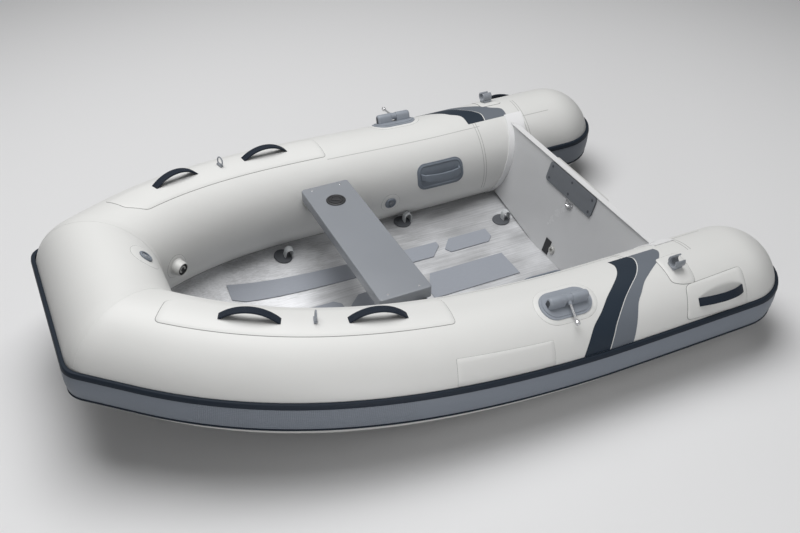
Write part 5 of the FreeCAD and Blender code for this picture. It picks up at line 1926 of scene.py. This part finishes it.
@dataclass
class Valves:
    """Air valves with a hooked recess, and the round fitting in the bow corner.

    The profiles are pairs of shares of the radius and of the height for the valves, and pairs
    of millimetres for the fitting.
    """

    radius: float = 27.0
    height: float = 6.0
    lift: float = 0.3
    side_place: Spot = (1132.0, 190.0)
    bow_place: Spot = (31.0, 137.0)
    flange: Outline = (
        (0.62, 0.2), (0.66, 0.9), (0.72, 1.0), (0.86, 0.96), (0.97, 0.6), (1.0, 0.2), (1.0, 0.0),
        (0.6, 0.0),
    )
    well: Outline = ((0.0, 0.1), (0.64, 0.1), (0.64, 0.0), (0.0, 0.0))
    core: Outline = ((0.0, 0.85), (0.2, 0.85), (0.25, 0.6), (0.26, 0.05), (0.0, 0.05))
    hook_radius: float = 0.42
    hook_height: float = 0.55
    hook_start: Spot = (0.3, 0.38)
    hook_size: Spot = (4.4, 4.0)
    fitting_from_bow: float = 161.0
    fitting_angle: float = 184.0
    fitting_radius: float = 34.5
    shell: Outline = (
        (0.0, 0.0), (34.5, 0.0), (34.5, 1.6), (32.0, 3.4), (30.2, 6.0), (30.2, 9.5), (29.4, 10.6),
        (30.2, 11.7), (30.2, 15.2), (29.4, 16.3), (30.0, 17.4), (29.6, 20.5), (28.8, 24.0),
        (27.6, 28.4), (26.8, 31.0), (26.0, 32.6), (25.0, 33.4), (24.0, 33.0), (23.2, 31.6),
        (23.0, 24.0), (0.0, 24.0),
    )
    fitting_shade_well: Outline = (
        (0.0, 23.6), (0.0, 26.0), (21.0, 26.0), (22.8, 30.8), (22.8, 23.6),
    )
    spiral: Spot = (12.0, 28.4)

    def _valve(self, name: str, place: Matrix, side: int) -> list[bpy.types.Object]:
        """One valve: flange, well, core and a crescent grip round the core.

        Args:
            name: name that its pieces start with.
            place: where it stands on the tube, in millimetres.
            side: PORT or STARBOARD.

        Returns:
            Its pieces.
        """
        radius, height = self.radius, self.height
        reach, level = radius * self.hook_radius, height * self.hook_height
        turns = [math.radians(60 + 12 * i) for i in range(19)]
        hook = [Vector((radius * self.hook_start[0], radius * self.hook_start[1], level))]
        hook += [Vector((reach * math.cos(t), reach * math.sin(t), level)) for t in turns]
        # The well's floor is near-black: painted shade in the valve's recess.
        parts = (
            ("flange", self.flange, Look.VALVE), ("well", self.well, Look.DARK_AND_SHADE),
            ("core", self.core, Look.CLIP),
        )
        pieces = [
            turned(f"{name}_{label}", place, sized(profile, radius, height), look, side)
            for label, profile, look in parts
        ]
        grip = bar(f"{name}_hook", place, hook, *self.hook_size, Look.CLIP, side, rounding=1.2)
        return [*pieces, grip]

    def build(self) -> None:
        """Makes the three valves and the bow fitting."""
        spot = LINE.seat(*self.side_place, self.lift, self.radius)
        for side, name in SIDE_NAMES.items():
            stand_for(f"{name}_valve", *self._valve(f"{name}_valve", spot, side))
        bow = LINE.bow_seat(*self.bow_place, self.lift)
        stand_for("bow_valve", *self._valve("bow_valve", bow, PORT))
        self._fitting()

    def _fitting(self) -> None:
        """A ribbed white bellows cap with a spiral grip, its recess painted black as shade."""
        station = LINE.bow - self.fitting_from_bow
        place = LINE.seat(station, self.fitting_angle, self.lift, self.fitting_radius)
        turns = [math.radians(15 * i - 60) for i in range(18)]
        reach, level = self.spiral
        hook = [Vector((reach * math.cos(t), reach * math.sin(t), level)) for t in turns]
        stand_for(
            "bow_fitting",
            turned("bow_fitting_shell", place, self.shell, Look.PALE, STARBOARD, 72),
            # The recess is painted black: painted shade in the opening.
            turned("bow_fitting_shade_well", place, self.fitting_shade_well, Look.BLACK, STARBOARD, 72),
            bar("bow_fitting_hook", place, hook, 5.0, 5.0, Look.PALE, STARBOARD, rounding=1.6),
        )


@dataclass
class HatchCap:
    """Black screw cap in the bench: a flange, a sunken ring and a cross bar.

    The flange's profile and the bar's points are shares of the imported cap's size.
    """

    flange: Outline = (
        (0.0, 0.0), (1.0, 0.0), (1.0, 0.35), (0.95, 0.8), (0.9, 1.0), (0.8, 1.0), (0.765, 0.8),
        (0.76, 0.4), (0.71, 0.4), (0.70, 0.95), (0.66, 1.0), (0.56, 1.0), (0.53, 0.7),
        (0.5, 0.45), (0.0, 0.4),
    )
    grip: tuple[float, ...] = (-0.52, -0.3, 0.0, 0.3, 0.52)
    grip_width: float = 9.0
    grip_level: float = 0.68
    grip_thick: float = 0.6
    grip_turn: float = -35.0

    def build(self) -> None:
        """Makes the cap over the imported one."""
        low, high = packed_box("seat_cap")
        centre = (low + high) / 2
        place = Matrix.Translation(Vector((centre.x, centre.y, low.z)))
        radius, height = (high.x - low.x) / 2, high.z - low.z
        flange = sized(self.flange, radius, height)
        grip = [Vector((x * radius, 0, height * self.grip_level)) for x in self.grip]
        askew = place @ Matrix.Rotation(math.radians(self.grip_turn), 4, "Z")
        thick = height * self.grip_thick
        stand_for(
            "seat_cap",
            turned("hatch_flange", place, flange, Look.BLACK, segments=80),
            bar("hatch_grip", askew, grip, self.grip_width, thick, Look.BLACK, rounding=1.6),
        )


# Bench

@dataclass
class Bench:
    """The folded bench with rounded edges, its screws and its brackets."""

    corner: float = 14.0
    edge: float = 4.0
    wall: float = 3.0
    screw_spread: float = 62.0
    screw_inset: float = 24.0
    screw_head: Outline = ((0.0, -0.2), (4.6, -0.2), (4.6, 0.3), (3.6, 1.1), (0.0, 1.3))

    def _drawn_in(self, spot: Spot, centre: Vector, inset: float, z: float) -> Vector:
        """A point of the outline, drawn in towards the middle, at a height."""
        x, y = (v - math.copysign(inset, v - c) for v, c in zip(spot, centre))
        return Vector((x, y, z))

    def build(self) -> None:
        """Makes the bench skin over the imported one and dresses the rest."""
        low, high = packed_box("bench_seat")
        centre = (low + high) / 2
        outline = rounded_box((low.x, low.y), (high.x, high.y), self.corner, 5)
        fold = high.z - self.edge
        levels = [(self.wall, high.z - self.wall), (self.wall, low.z), (0.0, low.z), (0.0, fold)]
        for turn in (math.radians(22.5 * i) for i in range(1, 5)):
            levels.append((self.edge * (1 - math.cos(turn)), fold + self.edge * math.sin(turn)))
        rings = [
            [self._drawn_in(spot, centre, inset, z) for spot in outline] for inset, z in levels
        ]
        stand_for("bench_seat", skinned("bench_top", rings, Look.SEAT, crisp=30))
        SHOP.dress("seat_brackets", Look.BLACK)
        inset = self.screw_inset
        for end, y in (("port", high.y - inset), ("starboard", low.y + inset)):
            for label, way in (("fore", 1), ("aft", -1)):
                spot = Vector((centre.x + way * self.screw_spread, y, high.z))
                place, name = Matrix.Translation(spot), f"bench_screw_{end}_{label}"
                turned(name, place, self.screw_head, Look.STEEL, segments=20)


@dataclass
class LiftingStraps:
    """Webbing loops that stand on dark round feet on the floor."""

    foot_radius: float = 39.8
    foot_thick: float = 4.0
    foot_bevel: float = 1.5
    strap_width: float = 28.0
    strap_thick: float = 5.0
    half_span: float = 15.5
    back: float = 22.0
    shoulder: float = 31.0
    leg: tuple[float, ...] = (1.0, 12.0, 22.0)
    places: tuple[tuple[str, Triple, Triple, Triple], ...] = (
        ("fore", (341.8, 384.9, 99.3), (0.988, 0.0, 0.152), (-0.147, -0.247, 0.958)),
        ("middle", (-253.0, 455.8, 58.6), (0.998, 0.0, 0.055), (-0.055, -0.097, 0.994)),
        ("aft", (-681.0, 302.7, 39.1), (1.0, 0.0, 0.0), (0.0, -0.077, 0.997)),
    )

    def _path(self) -> list[Vector]:
        """Middle line of a strap: up one leg, over and down the other.

        Returns:
            Its points, from the place of the foot.
        """
        reach, back = self.half_span, self.back
        path = [Vector((-back - reach, 0, z)) for z in self.leg]
        for turn in (math.pi * (1 - i / 12) for i in range(13)):
            rise = self.shoulder + reach * math.sin(turn)
            path.append(Vector((reach * math.cos(turn) - back, 0, rise)))
        return path + [Vector((-back + reach, 0, z)) for z in reversed(self.leg)]

    def build(self) -> None:
        """Makes the six straps."""
        radius, thick, path = self.foot_radius, self.foot_thick, self._path()
        foot = [
            (0.0, 0.0), (radius, 0.0), (radius, thick * 0.5), (radius - self.foot_bevel, thick),
            (radius * 0.6, thick * 1.1), (0.0, thick * 1.1),
        ]
        for side, name in SIDE_NAMES.items():
            for label, spot, along, out in self.places:
                place = framed(Vector(along), Vector(out), Vector(spot))
                stand_for(
                    "lifting_loops",
                    turned(f"{name}_{label}_loop_foot", place, foot, Look.FOOT, side),
                    bar(
                        f"{name}_{label}_loop_strap", place, path, self.strap_thick,
                        self.strap_width, Look.STRAP, side, flat_up=Vector((0, 1, 0)),
                    ),
                )


@dataclass
class PadScrews:
    """Dark screw heads in the inner clamp pad."""

    centre: Triple = (-824.75, 0.0, 346.15)
    lean: float = 16.6
    half_thick: float = 3.4
    across: tuple[float, ...] = (-148.0, 0.0, 148.0)
    up: tuple[float, ...] = (-27.0, 27.0)
    head: Outline = (
        (0.0, 0.0), (6.0, 0.0), (6.0, 0.8), (4.8, 1.8), (2.4, 1.8), (2.0, 1.0), (0.0, 1.0),
    )

    def build(self) -> None:
        """Makes the six heads."""
        turn = math.radians(self.lean)
        out = Vector((math.cos(turn), 0, math.sin(turn)))
        rise = Vector((-math.sin(turn), 0, math.cos(turn)))
        face = Vector(self.centre) + out * self.half_thick
        for i, across in enumerate(self.across):
            for j, up in enumerate(self.up):
                place = framed(Vector((0, 1, 0)), out, face + rise * up + Vector((0, across, 0)))
                turned(f"pad_screw_{i}_{j}", place, self.head, Look.DARK_AND_SHADE, segments=24)


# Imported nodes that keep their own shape

NODE_LOOKS: dict[str, Look] = {
    "hull_plate": Look.ALUMINIUM,
    # The saddles' dark finish is painted shade where the tubes meet the floor.
    "port_saddle": Look.SADDLE_SHADE,
    "starboard_saddle": Look.SADDLE_SHADE,
    "bow_saddle": Look.SADDLE_SHADE,
    "keel_guard": Look.KEEL,
    "bottom_runners": Look.KEEL,
    "transom_plate": Look.TRANSOM,
    "transom_cap": Look.WHITE,
    "transom_collars": Look.WHITE,
    "inner_clamp_pad": Look.PAD_PLASTIC,
    "outer_clamp_pad": Look.PALE,
    "lashing_rings": Look.CLIP,
    "port_rowlock_collar": Look.ROWLOCK,
    "starboard_rowlock_collar": Look.ROWLOCK,
    "port_rowlock_pin": Look.STEEL,
    "starboard_rowlock_pin": Look.STEEL,
    "floor_pads": Look.FOAM,
    "transom_eye": Look.STEEL,
    "drain_flap": Look.BLACK,
    "drain_valve": Look.CLEAR,
}


# Studio

@dataclass
class Studio:
    """Pale floor, soft lamps and the camera."""

    camera_at: Triple = (1.2902, 2.8179, 2.5561)
    look_at: Triple = (-0.0287, -0.0017, 0.1891)
    roll: float = -0.13
    lens: float = 43.49
    sensor: float = 36.0
    floor_half: float = 30.0
    floor_colour: Colour = (0.77, 0.77, 0.775)
    far_floor: float = 1.28
    fade: Spot = (0.9, 3.8)
    bounce_colour: Colour = (0.30, 0.30, 0.305)
    floor_roughness: float = 0.9
    floor_sheen: float = 0.2
    lamps: tuple[tuple[str, Triple, float, float], ...] = (
        ("overhead", (0.35, -0.55, 4.6), 3.6, 222.0),
        ("fore_fill", (3.0, 2.8, 2.6), 2.0, 14.0),
        ("aft_fill", (-3.2, 2.6, 2.6), 2.0, 12.0),
        ("side_fill", (0.5, 4.4, 0.5), 0.9, 50.0),
    )
    lamps_at: Triple = (0.0, 0.0, 0.2)
    light: tuple[Colour, float] = ((0.96, 0.98, 1.0), 0.05)
    view: tuple[Colour, float] = ((0.9, 0.91, 0.92), 0.45)

    def build(self) -> None:
        """Makes the camera, the floor, the lamps and the world."""
        self._camera()
        self._floor()
        for name, place, size, power in self.lamps:
            self._lamp(name, Vector(place), size, power)
        self._world()
        bpy.context.scene.view_settings.view_transform = "Standard"

    def _add(self, name: str, data: bpy.types.ID) -> bpy.types.Object:
        """Adds an object with its data to the scene.

        Args:
            name: name of the object.
            data: what it shows.

        Returns:
            The new object.
        """
        thing = bpy.data.objects.new(name, data)
        bpy.context.scene.collection.objects.link(thing)
        return thing

    def _camera(self) -> None:
        """Puts the camera at the photograph's place."""
        data = bpy.data.cameras.new("camera")
        data.sensor_fit = "HORIZONTAL"
        data.sensor_width = self.sensor
        data.lens = self.lens
        camera = self._add("camera", data)
        place = Vector(self.camera_at)
        forward = (Vector(self.look_at) - place).normalized()
        right = forward.cross(Vector((0, 0, 1))).normalized()
        up = right.cross(forward)
        turn = math.radians(self.roll)
        tilted = right * math.cos(turn) + up * math.sin(turn)
        upright = up * math.cos(turn) - right * math.sin(turn)
        facing = Matrix((tilted, upright, -forward)).transposed().to_4x4()
        camera.matrix_world = Matrix.Translation(place) @ facing
        bpy.context.scene.camera = camera

    def _floor(self) -> None:
        """Lays the studio floor, which pales with distance and throws little light back."""
        half = self.floor_half
        corners = [(-half, -half, 0), (half, -half, 0), (half, half, 0), (-half, half, 0)]
        mesh = bpy.data.meshes.new("studio_floor")
        mesh.from_pydata(corners, [], [(0, 1, 2, 3)])
        graph = Graph("studio_floor")
        flat = graph.stretched(graph.place(), (1, 1, 0))
        away = graph.add("ShaderNodeVectorMath", {"operation": "LENGTH"}, {0: flat}, 1)
        far = scaled(self.floor_colour, self.far_floor)
        shown = graph.mixed(away.step(*self.fade), self.floor_colour, far)
        graph.set("Base Color", graph.mixed(graph.seen(), self.bounce_colour, shown))
        graph.set("Roughness", self.floor_roughness)
        graph.set("Specular IOR Level", self.floor_sheen)
        mesh.materials.append(graph.material)
        self._add("studio_floor", mesh)

    def _lamp(self, name: str, place: Vector, size: float, power: float) -> None:
        """Adds one square lamp that looks at the boat.

        Args:
            name: name of the lamp.
            place: where it stands.
            size: length of its side.
            power: its power in watts.
        """
        data = bpy.data.lights.new(name, "AREA")
        data.shape = "SQUARE"
        data.size = size
        data.energy = power
        facing = (Vector(self.lamps_at) - place).to_track_quat("-Z", "Y").to_matrix().to_4x4()
        self._add(name, data).matrix_world = Matrix.Translation(place) @ facing

    def _world(self) -> None:
        """Sets an even light, and a paler view of it for the camera, gloss and clear parts."""
        world = bpy.data.worlds.new("studio")
        bpy.context.scene.world = world
        world.use_nodes = True
        nodes, links = world.node_tree.nodes, world.node_tree.links
        nodes.clear()
        output, mix = nodes.new("ShaderNodeOutputWorld"), nodes.new("ShaderNodeMixShader")
        for slot, (colour, strength) in enumerate((self.light, self.view), start=1):
            background = nodes.new("ShaderNodeBackground")
            background.inputs["Color"].default_value = (*colour, 1.0)
            background.inputs["Strength"].default_value = strength
            links.new(background.outputs[0], mix.inputs[slot])
        rays = nodes.new("ShaderNodeLightPath").outputs
        seen = rays["Is Camera Ray"]
        for kind in ("Glossy", "Transmission"):
            larger = nodes.new("ShaderNodeMath")
            larger.operation = "MAXIMUM"
            links.new(seen, larger.inputs[0])
            links.new(rays[f"Is {kind} Ray"], larger.inputs[1])
            seen = larger.outputs[0]
        links.new(seen, mix.inputs[0])
        links.new(mix.outputs[0], output.inputs["Surface"])


def main() -> None:
    """Builds and dresses the whole boat."""
    logging.basicConfig(level=logging.INFO, format="%(name)s: %(message)s")
    parts = (
        Studio(), Chambers(), Strakes(), Patches(), Stripes(), Handles(), Rowlocks(), OarClips(),
        GrabHandles(), Valves(), HatchCap(), Bench(), LiftingStraps(), PadScrews(),
    )
    for part in parts:
        part.build()
    for node, look in NODE_LOOKS.items():
        SHOP.dress(node, look)


if __name__ == "__main__":
    main()
